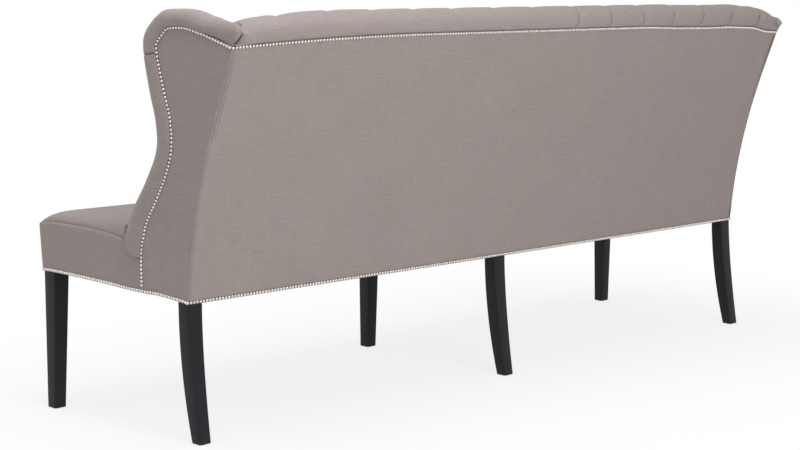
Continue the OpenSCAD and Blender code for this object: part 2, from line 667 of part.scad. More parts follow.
// Top roll: a section swept along the back, drawn in at each pleat and dropping to the corners
roll_c_y = back_y(roll_c_z) + roll_proud - roll_r;
crest_angle = 90;
roll_angles = [for (i = [0:6]) crest_angle * i / 3];
roll_fold_share = 0.3;
fold_power = 1.5;
function pleat_x(k) = (k - (pleats - 1) / 2) * tuft_pitch;
last_pleat_x = pleat_x(pleats - 1);
function pleat_at(x) = let (p = x / tuft_pitch + row_shift(0) / 2, off = abs(p - round(p)))
    abs(x) > last_pleat_x + tuft_pitch * roll_fold_share ? 0
        : pow(max(0, 1 - off / roll_fold_share), fold_power);
function lay_at(x) = let (from_end = last_pleat_x + tuft_pitch / 2 - abs(x))
    pleat_lay * max(0, min(1, from_end / (tuft_pitch / 2)));
function roll_sink(x) = roll_drop * min(1, drop_share(x));

// The pocket of the section: over the frame along the back, and over the wing panels at the ends
function roll_pocket(z_nail) = [
    [back_y(roll_low_z) - web_in - fit_gap, roll_low_z],
    [back_y(top_rail_z) - web_in - fit_gap, top_rail_z + fit_gap],
    [back_y(top_rail_z) - post_in + fit_gap, top_rail_z + fit_gap],
    [back_y(z_nail) - post_in + fit_gap, z_nail]];
pocket_shares = [0.2, 0.4, 0.6, 0.8];
function roll_floor() = [for (s = pocket_shares)
    nail_end + [0, fit_gap] + ([corner_y, corner_z] - nail_end) * s];

// Height of the wing's padded edge where the roll meets it, at a depth in from the end
wing_top_line = concat(
    [for (e = edge_shares) [wing_t * e[1], nail_end[1] + end_face_w - wing_edge_t * e[0]]],
    [[wing_t, nail_end[1] + end_face_w * (1 - inner_share)]]);

// One section: x is its place, and closed says that it covers a wing panel. From the crest
// forward it follows the roll's arc, or the line to the wing's edge where met holds its height
function roll_section(x, x_nail, closed, clip_y, swell, met = 0) = let (
    sink = roll_sink(x),
    r = (roll_r - pleat_depth * pleat_at(x)) * swell,
    zc = roll_c_z - sink,
    z_nail = nail_line_z(x_nail) + fit_gap,
    front = back_y(roll_low_z) - pad_in - back_pad_t + fold_depth * edge_tuft_share
        + pleat_depth * pleat_at(x),
    low = closed ? [clip_y, nail_end[1] + fit_gap] : [front, roll_low_z],
    mid = [(front + roll_c_y - r) / 2, (roll_low_z + zc) / 2],
    points = concat(
        [[back_y(z_nail), z_nail]],
        [for (a = roll_angles) a > crest_angle && met > 0
            ? [roll_c_y, zc + r] + [clip_y - roll_c_y, met - zc - r] * (a / crest_angle - 1)
            : [roll_c_y + r * cos(a), zc + r * sin(a)]],
        [met > 0 ? [clip_y, (met + low[1]) / 2] : mid, low],
        closed ? roll_floor() : roll_pocket(nail_line_z(x) + fit_gap)))
    [for (p = points) [max(p[0], clip_y), p[1]]];

// Sections along the middle stand square to the back, the ones at an end follow its splay
bay_shares = [0, 0.11, 0.33, 0.67, 0.89];
roll_mid_xs = concat(
    [for (k = [0:pleats - 2]) for (s = bay_shares) pleat_x(k) + s * tuft_pitch], [last_pleat_x]);
roll_end_shares = [0.12, 0.4, 0.7];
roll_reach = half_w(roll_c_y - roll_r, wing_t + 2 * fit_gap) - last_pleat_x;
clear_y = wing_end_y + fit_gap;
lay_shares = [0.25, 0.7, 0.85, 1, 1, 0.75, 0.5, 0.25];
function lay_share(j) = j < len(lay_shares) ? lay_shares[j] : 0;
function mid_ring(x) = let (s = roll_section(x, x - lay_at(x) * lay_share(0), false, front_y, 1))
    [for (j = [0:len(s) - 1]) [x - lay_at(x) * lay_share(j), s[j][0], s[j][1]]];
function end_ring(inset, closed, clip_y, swell) = let (
    x = half_w(roll_c_y, inset),
    met = clip_y == clear_y ? lookup(inset, wing_top_line) : 0,
    s = roll_section(x, x, closed, clip_y, swell, met))
    [for (p = s) [half_w(p[0], inset), p[0], p[1]]];
end_swell_shares = [1, 0.97, 0.86];
roll_end_rings = [
    end_ring(wing_t + 2 * fit_gap, false, front_y, 1),
    end_ring(wing_t + fit_gap, false, clear_y, 1),
    end_ring(wing_pad_in + fit_gap, false, clear_y, 1),
    end_ring(wing_pad_in, true, clear_y, 1),
    end_ring(cover_t, true, clear_y, end_swell_shares[0]),
    end_ring(-fit_gap, true, clear_y, end_swell_shares[1]),
    end_ring(-wing_bulge / 2, true, clear_y, end_swell_shares[2])];
function flipped(ring) = [for (p = ring) [-p[0], p[1], p[2]]];
roll_right = concat([for (s = roll_end_shares) mid_ring(last_pleat_x + s * roll_reach)], roll_end_rings);
roll_left = concat(
    [for (s = roll_end_shares) mid_ring(-last_pleat_x - s * roll_reach)],
    [for (r = roll_end_rings) flipped(r)]);
roll_rings = concat(reversed(roll_left), [for (x = roll_mid_xs) mid_ring(x)], roll_right);
module top_roll()
    color("#8b837d") polyhedron([for (r = roll_rings) for (p = r) p],
        [for (f = ring_faces(len(roll_rings), len(roll_rings[0]))) reversed(f)]);

// Covers: the outside back under its arched nail line, on a hardboard panel
arch_steps = 12;
function arch(drop) = let (corner = half_w(back_low_y), start = corner_half_w - drop_run,
    xs = concat([0], [for (i = [0:arch_steps]) start + (corner - start) * i / arch_steps]))
    concat([for (i = [len(xs) - 1:-1:0]) [-xs[i], nail_line_z(xs[i]) - drop]],
        [for (i = [1:len(xs) - 1]) [xs[i], nail_line_z(xs[i]) - drop]]);
module under_arch(drop)
    extrude_y(concat(arch(drop), [[front_w / 2, 0], [-front_w / 2, 0]]), back_low_y - over - board_t,
        back_y(nail_z) + over);
module outside_back_board()
    color("peru") intersection() {
        profile_x(back_layer(board_in, post_in, edge_rear_z, nail_z), -front_w, front_w);
        plan(cover_t, back_low_y - over, back_y(nail_z), edge_rear_z, nail_z);
        above_edge(back_low_y - over, back_y(nail_z), nail_z);
        under_arch(strip_w);
    }
module outside_back_cover()
    color("#968d87") intersection() {
        profile_x(back_layer(0, cover_t, edge_rear_z, nail_z), -front_w, front_w);
        plan(cover_t, back_low_y - over, back_y(nail_z), edge_rear_z, nail_z);
        above_edge(back_low_y - over, back_y(nail_z), nail_z);
        under_arch(0);
    }

module outside_wing_cover(side)
    color("#857d78") sided(side) end_layer(0, cover_t, concat(
        edge_line(join_y, back_low_y),
        rest(back_line(0, edge_rear_z, corner_z)),
        reversed(nail_edge(0)),
        [[join_y, wing_low_z]]));

// Seat covers: the front one leans out over the rail, each end one stops at the upright join
module seat_front_cover()
    color("#938b85") intersection() {
        profile_x([[front_face_y, edge_front_z], [front_rail_y, edge_z(front_rail_y)],
            [front_rail_y, seat_low_z - fit_gap], [front_at(seat_low_z), seat_low_z - fit_gap]],
            -front_w, front_w);
        plan(cover_t, front_y - over, front_rail_y + over, 0, seam_z);
    }
cover_stop = [for (p = wing_edge) if (p[1] < seam_z - seam_drop) [p[0] - fit_gap, p[1]]];
seam_steps = 5;
seam_run = step_y - front_y - front_round;
module seat_end_cover(side)
    color("#8d8580") sided(side) end_layer(0, cover_t, concat(
        edge_line(front_face_y, join_y),
        [[join_y, rail_top_z], [cover_stop[0][0], rail_top_z]],
        cover_stop,
        [for (i = [seam_steps:-1:0]) let (y = front_y + front_round + seam_run * i / seam_steps)
            [y, seam_at(y)]],
        [for (a = reversed(seat_arc))
            [front_y + front_round * (1 - cos(a)), seam_z - front_round * (1 - sin(a))]]));

// Nail strips: flat bands against the covers, just under the padded edges
strip_top_z = edge_front_z + strip_w;
function back_band(z1, z2) = back_layer(-strip_t, 0, z1, z2);
module nail_strip_lower() {
    color("silver") {
        intersection() {
            profile_x(back_band(edge_rear_z, edge_rear_z + strip_w), -front_w, front_w);
            plan(0, back_low_y - over, back_low_y + over, edge_rear_z, edge_rear_z + strip_w);
        }
        for (side = [-1, 1]) sided(side) end_layer(-strip_t, 0, concat(
            edge_line(front_face_y, back_low_y), reversed(edge_line(front_face_y, back_low_y, strip_w))));
        intersection() {
            profile_x([[front_face_y - strip_t, edge_front_z], [front_face_y, edge_front_z],
                [front_at(strip_top_z), strip_top_z], [front_at(strip_top_z) - strip_t, strip_top_z]],
                -front_w, front_w);
            plan(0, front_y - over, front_face_y + over, edge_front_z, strip_top_z);
        }
    }
}
module nail_strip_back_top()
    color("silver") intersection() {
        profile_x(back_band(corner_z - nail_drop, nail_z), -front_w, front_w);
        plan(0, back_y(corner_z - nail_drop) - over, back_y(nail_z) + strip_t,
            corner_z - nail_drop, nail_z);
        extrude_y(concat(arch(fit_gap), reversed(arch(strip_w))), back_low_y, back_y(nail_z) + over);
    }
module nail_strip_wing(side)
    color("silver") sided(side) end_layer(-strip_t, 0, concat(
        [[join_y, edge_z(join_y) + strip_w], [join_y, wing_low_z]],
        nail_edge(0),
        [[corner_y, corner_z], [back_y(corner_z - strip_w), corner_z - strip_w]],
        reversed(nail_edge(strip_w)),
        [[join_y + strip_w, wing_low_z], [join_y + strip_w, edge_z(join_y) + strip_w]]));

// Dust cover: a thin cloth tacked under the rails and cut round the legs
module dust_cover() {
    y1 = front_rail_y + rail_t / 2;
    y2 = rear_rail_y + post_d / 2;
    color("#242426") difference() {
        intersection() {
            profile_x(concat(edge_line(y1, y2, -dust_t), reversed(edge_line(y1, y2))), -front_w, front_w);
            plan(cover_t + rail_t / 2, y1, y2, 0, rail_top_z);
        }
        for (p = leg_places) translate([p[0], p[1], 0]) linear_extrude(rail_top_z)
            square(max(front_leg_top, rear_leg_top) + 2 * fit_gap, center = true);
    }
}

front_rail();
rear_rail();
end_rail(-1);  // end_rail_left
end_rail(1);  // end_rail_right
cross_rail(-cross_rail_x);  // cross_rail_left
cross_rail(0);  // cross_rail_centre
cross_rail(cross_rail_x);  // cross_rail_right
corner_blocks();
front_leg(-1);  // front_leg_left
front_leg(0);  // front_leg_centre
front_leg(1);  // front_leg_right
rear_leg(-1);  // rear_leg_left
rear_leg(0);  // rear_leg_centre
rear_leg(1);  // rear_leg_right
leg_bolts();
floor_glides();
end_post(-1);  // back_post_left
mid_post(-mid_post_x);  // back_post_mid_left
mid_post(0);  // back_post_centre
mid_post(mid_post_x);  // back_post_mid_right
end_post(1);  // back_post_right
back_top_rail();
back_lower_rail();
back_webbing();
seat_webbing_cross();
seat_webbing_long();
wing_panel(-1);  // wing_panel_left
wing_panel(1);  // wing_panel_right
wing_pad(-1);  // wing_pad_left
wing_pad(1);  // wing_pad_right
seat_pad();
inside_back_pad();
top_roll();
outside_back_board();
outside_back_cover();
outside_wing_cover(-1);  // outside_wing_cover_left
outside_wing_cover(1);  // outside_wing_cover_right
seat_front_cover();
seat_end_cover(-1);  // seat_end_cover_left
seat_end_cover(1);  // seat_end_cover_right
tuft_buttons();
nail_strip_lower();
nail_strip_back_top();
nail_strip_wing(-1);  // nail_strip_wing_left
nail_strip_wing(1);  // nail_strip_wing_right
dust_cover();
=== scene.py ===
import math

import bmesh
import bpy
import numpy as np
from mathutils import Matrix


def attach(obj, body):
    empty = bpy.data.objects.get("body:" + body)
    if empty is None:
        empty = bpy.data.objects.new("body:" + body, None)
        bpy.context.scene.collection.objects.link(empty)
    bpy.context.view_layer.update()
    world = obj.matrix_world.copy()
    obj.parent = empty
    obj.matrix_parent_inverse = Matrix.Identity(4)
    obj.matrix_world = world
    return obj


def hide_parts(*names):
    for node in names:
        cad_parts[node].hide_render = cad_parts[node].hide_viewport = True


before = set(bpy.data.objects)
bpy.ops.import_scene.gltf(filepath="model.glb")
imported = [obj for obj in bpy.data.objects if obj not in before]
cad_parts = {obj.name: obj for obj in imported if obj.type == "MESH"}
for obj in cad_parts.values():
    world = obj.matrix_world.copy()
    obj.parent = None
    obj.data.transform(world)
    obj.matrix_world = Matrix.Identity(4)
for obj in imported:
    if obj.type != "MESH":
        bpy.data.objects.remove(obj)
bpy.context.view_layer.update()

# Camera: a long lens behind the bench, a little above its back, looking at the end that is on the
# right as the bench is seen from the front. No shift and no depth of field.
camera_px, picture_px = 1800.86, 800
tilt_down, heading = 7.7909, -134.6857
lens = bpy.data.cameras.new("camera")
lens.sensor_width = 36
lens.lens = camera_px / picture_px * lens.sensor_width
camera = bpy.data.objects.new("camera", lens)
camera.location = (3.7260, 3.5597, 1.1122)
camera.rotation_euler = (math.radians(90 - tilt_down), 0, math.radians(heading - 90))
bpy.context.collection.objects.link(camera)
bpy.context.scene.camera = camera
bpy.context.scene.view_settings.view_transform = "Standard"


# Studio: a pale paper floor that runs out to white and keeps the soft shadow of the bench,
# an even white room, soft lamps behind and above the bench, and a weak one in front of it.
def dye(code, share=1):
    """A colour written as six hex digits, as the shader's linear red, green and blue."""
    parts = [int(code[i:i + 2], 16) / 255 for i in (0, 2, 4)]
    return tuple(share * (p / 12.92 if p < 0.04045 else ((p + 0.055) / 1.055) ** 2.4)
                 for p in parts) + (1,)


class Wire:
    """One output socket of a finish; arithmetic on it adds Math nodes."""

    def __init__(self, finish, socket):
        self.finish, self.socket = finish, socket

    def math(self, operation, *others):
        return self.finish.add("ShaderNodeMath", {"operation": operation},
                               dict(enumerate((self,) + others)))

    def __add__(self, other):
        return self.math("ADD", other)

    def __sub__(self, other):
        return self.math("SUBTRACT", other)

    def __rsub__(self, other):
        return self.finish.add("ShaderNodeMath", {"operation": "SUBTRACT"}, {0: other, 1: self})

    def __mul__(self, other):
        return self.math("MULTIPLY", other)

    def __gt__(self, other):
        return self.math("GREATER_THAN", other)

    def __abs__(self):
        return self.math("ABSOLUTE")

    def root(self):
        return self.math("SQRT")

    def sine(self):
        return self.math("SINE")

    __radd__ = __add__
    __rmul__ = __mul__


class Finish:
    """A material in the making, or the light of the room."""

    def __init__(self, name, room=False):
        self.made = (bpy.data.worlds if room else bpy.data.materials).new(name)
        self.made.use_nodes = True
        self.tree = self.made.node_tree
        self.tree.nodes.clear()
        self.out = self.tree.nodes.new("ShaderNodeOutput" + ("World" if room else "Material"))

    def add(self, kind, settings=None, sockets=None, output=0):
        """Adds a node, sets it up, wires its sockets and returns one of its outputs."""
        node = self.tree.nodes.new(kind)
        for key, value in (settings or {}).items():
            if key == "stops":
                stops = node.color_ramp.elements
                while len(stops) < len(value):
                    stops.new(1)
                for stop, (place, colour) in zip(stops, value):
                    stop.position, stop.color = place, colour
            else:
                setattr(node, key, value)
        for key, value in (sockets or {}).items():
            if isinstance(value, Wire):
                self.tree.links.new(value.socket, node.inputs[key])
            else:
                node.inputs[key].default_value = value
        return Wire(self, node.outputs[output])

    def close(self, surface):
        """Ends the material in this surface."""
        self.tree.links.new(surface.socket, self.out.inputs[0])
        return self.made

    def surface(self, sockets):
        """Ends the material in a surface with these sockets."""
        return self.close(self.add("ShaderNodeBsdfPrincipled", None, sockets))

    def place(self, kind="Object"):
        """The spot on the bench, or the way that it faces there."""
        return self.add("ShaderNodeTexCoord", None, None, kind)

    def axis(self, vector, number):
        return self.add("ShaderNodeSeparateXYZ", None, {0: vector}, number)

    def noise(self, place, scale, detail):
        return self.add("ShaderNodeTexNoise", None,
                        {"Vector": place, "Scale": scale, "Detail": detail})

    def grain(self, scales, detail):
        """Noise with its own scale along each axis of the bench."""
        return self.noise(self.add("ShaderNodeVectorMath", {"operation": "MULTIPLY"},
                                   {0: self.place(), 1: scales}), 1.0, detail)

    def blend(self, share, first, second):
        return self.add("ShaderNodeMix", {"data_type": "RGBA"},
                        {0: share, 6: first, 7: second}, 2)

    def ramp(self, share, *stops):
        return self.add("ShaderNodeValToRGB", {"stops": stops}, {0: share})

    def bump(self, strength, distance, height):
        return self.add("ShaderNodeBump", None,
                        {"Strength": strength, "Distance": distance, "Height": height})


def seen_directly(finish):
    """1 for a ray that shows the studio itself, 0 for one that lights the bench."""
    rays = [finish.add("ShaderNodeLightPath", None, None, name)
            for name in ("Is Camera Ray", "Is Glossy Ray", "Is Transmission Ray")]
    return rays[0].math("MAXIMUM", rays[1].math("MAXIMUM", rays[2]))


white = (1, 1, 1, 1)
shadow_half_x, shadow_half_y, shadow_run, near_white, floor_half = 1.05, 0.30, 1.1, 0.80, 40
paper = Finish("studio_paper")
past_x, past_y = ((abs(paper.axis(paper.place(), k)) - half)
                  * (abs(paper.axis(paper.place(), k)) > half)
                  for k, half in ((0, shadow_half_x), (1, shadow_half_y)))
away = paper.add("ShaderNodeMapRange", {"interpolation_type": "SMOOTHSTEP"}, {
    "Value": (past_x * past_x + past_y * past_y).root(), "From Min": 0.0,
    "From Max": shadow_run, "To Min": near_white, "To Max": 1.0})
floor_paper = paper.close(paper.add("ShaderNodeMixShader", None, {
    0: seen_directly(paper) * away,
    1: paper.add("ShaderNodeBsdfDiffuse", None, {"Color": dye("f4f3f1")}),
    2: paper.add("ShaderNodeEmission", None, {"Color": white, "Strength": 1.0})}))
floor_mesh = bpy.data.meshes.new("studio_floor")
floor_mesh.from_pydata([(x * floor_half, y * floor_half, 0)
                        for x, y in ((-1, -1), (1, -1), (1, 1), (-1, 1))], [], [(0, 1, 2, 3)])
floor_mesh.materials.append(floor_paper)
studio_floor = bpy.data.objects.new("studio_floor", floor_mesh)
bpy.context.collection.objects.link(studio_floor)

room_light = 0.56
room = Finish("studio_room", room=True)
bpy.context.scene.world = room.close(room.add("ShaderNodeMixShader", None, {
    0: seen_directly(room),
    1: room.add("ShaderNodeBackground", None, {0: white, 1: room_light}),
    2: room.add("ShaderNodeBackground", None, {0: white, 1: 1.0})}))


def soft_lamp(name, place, aim, size, watts):
    lamp = bpy.data.lights.new(name, "AREA")
    lamp.shape, lamp.size, lamp.size_y, lamp.energy = "RECTANGLE", size[0], size[1], watts
    holder = bpy.data.objects.new(name, lamp)
    holder.location = place
    way = np.array(aim, float) - place
    holder.rotation_euler = (math.acos(-way[2] / np.linalg.norm(way)), 0,
                             math.atan2(way[1], way[0]) - math.pi / 2)
    bpy.context.collection.objects.link(holder)


soft_lamp("lamp_behind", (1.0, 3.2, 2.2), (0.4, 0.3, 0.7), (1.6, 1.4), 46)
soft_lamp("lamp_above", (1.2, 0.3, 2.9), (0.6, 0.1, 0.9), (1.4, 1.2), 28)
soft_lamp("lamp_front", (1.7, -3.0, 1.5), (1.1, -0.1, 0.8), (1.2, 1.2), 12)


# Timber frame: beech rails, posts and corner blocks, planed, glued and screwed. The grain of
# each runs along its length, so the same beech is laid three ways.
def beech(name, along):
    wood = Finish(name)
    scales = [26.0, 26.0, 26.0]
    scales[along] = 1.5
    rings = wood.grain(scales, 4.0)
    pores = wood.grain([12 * s for s in scales], 2.0)
    colour = wood.ramp(rings * 0.75 + pores * 0.25, (0.34, dye("a9825a")),
                       (0.5, dye("c7a67b")), (0.66, dye("d9bd94")))
    return wood.surface({"Base Color": colour, "Roughness": 0.55 + 0.2 * pores,
                         "Normal": wood.bump(0.3, 0.0006, pores)})


def dress(names, finish):
    """Gives solids of the frame that show as they are their finish."""
    for name in names.split():
        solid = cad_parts[name]
        solid.data.materials.clear()
        solid.data.materials.append(finish)


dress("front_rail rear_rail back_top_rail back_lower_rail", beech("beech_long", 0))
dress("end_rail_left end_rail_right cross_rail_left cross_rail_centre cross_rail_right "
      "corner_blocks", beech("beech_deep", 1))
dress("back_post_left back_post_mid_left back_post_centre back_post_mid_right "
      "back_post_right", beech("beech_upright", 2))


# Boards: birch ply cut to the outline of each wing, and thin brown hardboard tacked over the
# posts to carry the linen of the outside back.
def board(name, dark, light, scales):
    sheet = Finish(name)
    grain = sheet.grain(scales, 5.0)
    return sheet.surface({"Base Color": sheet.blend(grain, dye(dark), dye(light)),
                          "Roughness": 0.6 + 0.15 * grain,
                          "Normal": sheet.bump(0.25, 0.0004, grain)})


dress("wing_panel_left wing_panel_right",
      board("birch_ply", "b08c62", "dcc49b", (40.0, 60.0, 4.0)))
dress("outside_back_board", board("hardboard", "6f4e33", "8d6a48", (300.0, 300.0, 300.0)))


# Hanger bolts that hold the legs, half in the leg and half in the rail, and the nylon glides
# nailed under each foot.
def turned_finish(name, colour, rough, metal):
    turned = Finish(name)
    marks = turned.grain((300.0, 300.0, 2600.0), 2.0)
    return turned.surface({"Base Color": turned.blend(marks, dye(colour, 0.86), dye(colour)),
                           "Metallic": metal, "Roughness": rough + 0.15 * marks})


dress("leg_bolts", turned_finish("zinc_bolt", "b9bcc0", 0.28, 1.0))
dress("floor_glides", turned_finish("nylon_glide", "3a3a3c", 0.45, 0.0))

# Legs: six beech legs in near-black satin lacquer. The front three are square tapers, the rear
# three are sawn to a sweep that runs back to the foot; every arris is eased.
front_w, rear_w, seat_run, front_lean = 2.293, 2.220, 0.565, 0.010
half_rear, splay = rear_w / 2, (front_w - rear_w) / 2 / seat_run
front_y, back_low_y = -0.373364, 0.191636
front_face_y = front_y + front_lean
edge_rear_z, edge_front_z, rail_top_z = 0.340, 0.369, 0.440
edge_steps, edge_curve = 10, 1.8
hem_front_drop, hem_bow, rear_hem_drop, rear_hem_tilt = 0.0050, 0.0015, 0.0026, 0.0018


def half_w(y, inset=0.0):
    """Half the bench's width at a depth, less a layer's thickness."""
    return half_rear + splay * (back_low_y - y) - inset * math.sqrt(1 + splay ** 2)


def within(share):
    return min(1.0, max(0.0, share))


def ease(share):
    """From 0 to 1 with a slow start and a slow end."""
    share = within(share)
    return share * share * (3 - 2 * share)


def edge_z(y):
    """Height of the frame's lower edge, in ten short straights."""
    share = within((y - front_y) / seat_run) * edge_steps
    whole = min(edge_steps - 1, int(share))
    ends = [edge_rear_z + (edge_front_z - edge_rear_z)
            * (1 - ((whole + k) / edge_steps) ** edge_curve) for k in (0, 1)]
    return ends[0] + (ends[1] - ends[0]) * (share - whole)


def hem_z(y):
    """Height of the cloth's lower edge along an end: towards the front it covers the leg's top."""
    bow = ease((y - 0.05) / 0.03) * ease((0.20 - y) / 0.03)
    return edge_z(y) - hem_front_drop * ease((0.12 - y) / 0.16) + hem_bow * bow


def rear_hem_z(x):
    """Height of the cloth's lower edge along the rear."""
    return edge_rear_z - rear_hem_drop + rear_hem_tilt * x / half_rear


def new_piece(name, points, faces, closed=True):
    """A smooth mesh object from its points and faces; a closed one has its faces outwards."""
    mesh = bpy.data.meshes.new(name)
    mesh.from_pydata([tuple(p) for p in points], [], faces)
    if closed:
        shell = bmesh.new()
        shell.from_mesh(mesh)
        bmesh.ops.recalc_face_normals(shell, faces=shell.faces)
        shell.to_mesh(mesh)
        shell.free()
    mesh.polygons.foreach_set("use_smooth", [True] * len(mesh.polygons))
    piece = bpy.data.objects.new(name, mesh)
    bpy.context.collection.objects.link(piece)
    return piece


def ring_faces(rings, count):
    """Faces of a skin over rings of points, with both ends closed."""
    faces = [(i * count + j, i * count + (j + 1) % count, (i + 1) * count + (j + 1) % count,
              (i + 1) * count + j) for i in range(rings - 1) for j in range(count)]
    return faces + [tuple(range(count)), tuple(range((rings - 1) * count, rings * count))]


def row_after_row(rows):
    return [point for row in rows for point in row]


def skin(name, rings):
    """A closed piece lofted over rings of points."""
    return new_piece(name, row_after_row(rings), ring_faces(len(rings), len(rings[0])))


def fit(piece, node=None, finish=None):
    """Gives a finished mesh its finish and its slot, in the place of a solid of the frame."""
    if finish:
        piece.data.materials.append(finish)
    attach(piece, "root")
    if node:
        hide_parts(node)


def eased_square(x1, x2, y1, y2, round_r, height):
    """A square section with rounded corners; height gives the section's level at a depth."""
    ring = []
    for k, (cx, cy) in enumerate(((x2 - round_r, y2 - round_r), (x1 + round_r, y2 - round_r),
                                  (x1 + round_r, y1 + round_r), (x2 - round_r, y1 + round_r))):
        for step in range(5):
            turn = math.radians(90 * k + 22.5 * step)
            y = cy + round_r * math.sin(turn)
            ring.append((cx + round_r * math.cos(turn), y, height(y)))
    return ring


lacquer = Finish("black_lacquer")
brush = lacquer.grain((260.0, 260.0, 9.0), 3.0)
rubbed = lacquer.noise(lacquer.place(), 22.0, 4.0)
leg_finish = lacquer.surface({
    "Base Color": lacquer.blend(brush * 0.6 + rubbed * 0.4, dye("17171b"), dye("26262c")),
    "Roughness": 0.38 + 0.16 * rubbed, "Specular IOR Level": 0.18,
    "Normal": lacquer.bump(0.22, 0.0004, brush)})

glide_t, arris, foot_ease = 0.002, 0.0026, 0.0012
leg_foot, front_leg_top, rear_leg_top, rear_leg_deep = 0.034, 0.046, 0.045, 0.038
front_leg_x, rear_leg_x, sweep, rear_foot_deep = 1.11885, 1.0855, 0.040, 0.032
leg_levels = [0.0, 0.004, 0.012] + [i / 26 for i in range(1, 26)] + [1.0]


def upright_edges(share):
    """Front and rear edge of a front leg, at a share of the way down."""
    return front_face_y, front_face_y + front_leg_top - (front_leg_top - leg_foot) * share


def swept_edges(share):
    """Front and rear edge of a rear leg, at a share of the way down."""
    return (back_low_y - rear_leg_deep + (sweep + rear_leg_deep - rear_foot_deep) * share ** 2,
            back_low_y + sweep * share ** 1.5)


def leg(row, side, word, x, top, top_z, edges):
    """A leg lofted from foot to rail: edges gives its front and rear edge at a share down."""
    rings = []
    foot_mid = x + side * (top - leg_foot) / 2
    for level in leg_levels:
        z = glide_t + (top_z - glide_t) * level
        y1, y2 = edges(1 - level)
        mid = foot_mid + (x - foot_mid) * level
        half = (leg_foot + (top - leg_foot) * level) / 2
        eased = foot_ease if level == 0 else 0.0
        rings.append(eased_square(mid - half + eased, mid + half - eased, y1 + eased, y2 - eased,
                                  arris, edge_z if level == 1.0 else lambda y: z))
    piece = skin("leg_" + row + "_" + word, rings)
    piece.data.set_sharp_from_angle(angle=math.radians(40))
    fit(piece, row + "_leg_" + word, leg_finish)


for side, word in ((-1, "left"), (0, "centre"), (1, "right")):
    leg("front", side, word, side * front_leg_x, front_leg_top, edge_front_z, upright_edges)
    leg("rear", side, word, side * rear_leg_x, rear_leg_top, edge_rear_z, swept_edges)

# Webbing: jute straps 60 mm wide, tacked across the seat and up the inside of the posts, with
# three long straps over the cross ones. They carry the pads.
web_t, web_w, web_pitch, straps = 0.002, 0.060, 0.122, 8
low_tan, high_tan, bend_run = math.tan(math.radians(8.25)), math.tan(math.radians(20.5)), 0.340
web_in, web_lap, board_half, mid_post_x = 0.047, 0.028, 0.045, 0.555


def back_y(z):
    """Depth of the outside back at a height: it runs back straight, bent, then straight."""
    low = min(z, rail_top_z) - edge_rear_z
    bent = min(max(z - rail_top_z, 0.0), bend_run)
    high = max(z - rail_top_z - bend_run, 0.0)
    return back_low_y + ((low + bent) * low_tan
                         + (high_tan - low_tan) * bent ** 2 / (2 * bend_run) + high * high_tan)


def strap(lines):
    """A strap through lines of (left, right, out) points: thinner at its selvedges."""
    rings = []
    for left, right, out in lines:
        left, right, out = (np.array(v, float) for v in (left, right, out))
        face = [left + (right - left) * s + out * (web_t if 0 < s < 1 else web_t * 0.4)
                for s in (0, 0.04, 0.3, 0.5, 0.7, 0.96, 1)]
        rings.append(face + [left + (right - left) * s for s in (1, 0.96, 0.5, 0.04, 0)])
    return row_after_row(rings), ring_faces(len(rings), len(rings[0]))


def join_up(name, parts):
    """One mesh of several point and face lists."""
    points, faces = [], []
    for some, theirs in parts:
        faces += [tuple(k + len(points) for k in face) for face in theirs]
        points += list(some)
    return new_piece(name, points, faces)


jute = Finish("jute_webbing")
across, deep, up = (jute.axis(jute.place(), k) for k in range(3))
ribs = (across * 2600).sine() * ((deep + up) * 1900).sine()
fibre = jute.noise(jute.place(), 420.0, 3.0)
jute_finish = jute.surface({
    "Base Color": jute.blend(fibre * 0.7 + ribs * 0.15 + 0.1, dye("6f6350"), dye("a59779")),
    "Roughness": 0.95, "Normal": jute.bump(0.5, 0.0004, ribs)})

post_gap, rail_in_y, long_strap_in = 0.0003, front_face_y + 0.034, 0.0616
low_rail_top, pad_high_z = 0.525, 0.9545
back_straps, cross_straps, long_straps = [], [], []
for k in range(-straps, straps + 1):
    x = k * web_pitch
    lines = []
    for z in np.linspace(low_rail_top - 0.030, pad_high_z, 24):
        y = back_y(z) - web_in
        lines.append(((x - web_w / 2, y, z), (x + web_w / 2, y, z), (0, -1, 0)))
    back_straps.append(strap(lines))
    at_post = abs(x) < board_half or abs(abs(x) - mid_post_x) < board_half
    rear = back_y(rail_top_z) - web_in + (-post_gap if at_post else 0.030)
    cross_straps.append(strap([((x + web_w / 2, y, rail_top_z), (x - web_w / 2, y, rail_top_z),
                                (0, 0, 1)) for y in np.linspace(rail_in_y - web_lap, rear, 20)]))
seat_gap = (back_y(rail_top_z) - web_in - rail_in_y) / 4
for k in (1, 2, 3):
    y = rail_in_y + k * seat_gap
    half = half_w(y + web_w / 2, long_strap_in)
    long_straps.append(strap([((x, y - web_w / 2, rail_top_z + web_t),
                               (x, y + web_w / 2, rail_top_z + web_t), (0, 0, 1))
                              for x in np.linspace(-half, half, 60)]))
for name, parts, node in (("straps_back", back_straps, "back_webbing"),
                          ("straps_seat_cross", cross_straps, "seat_webbing_cross"),
                          ("straps_seat_long", long_straps, "seat_webbing_long")):
    fit(join_up(name, parts), node, jute_finish)


# Seat pad: one long foam and fibre pad in linen, crowned, with a rounded front edge and rounded
# ends, narrower where it runs back between the wings. It is blown out as stuffed cloth.
thread_turns = 5200


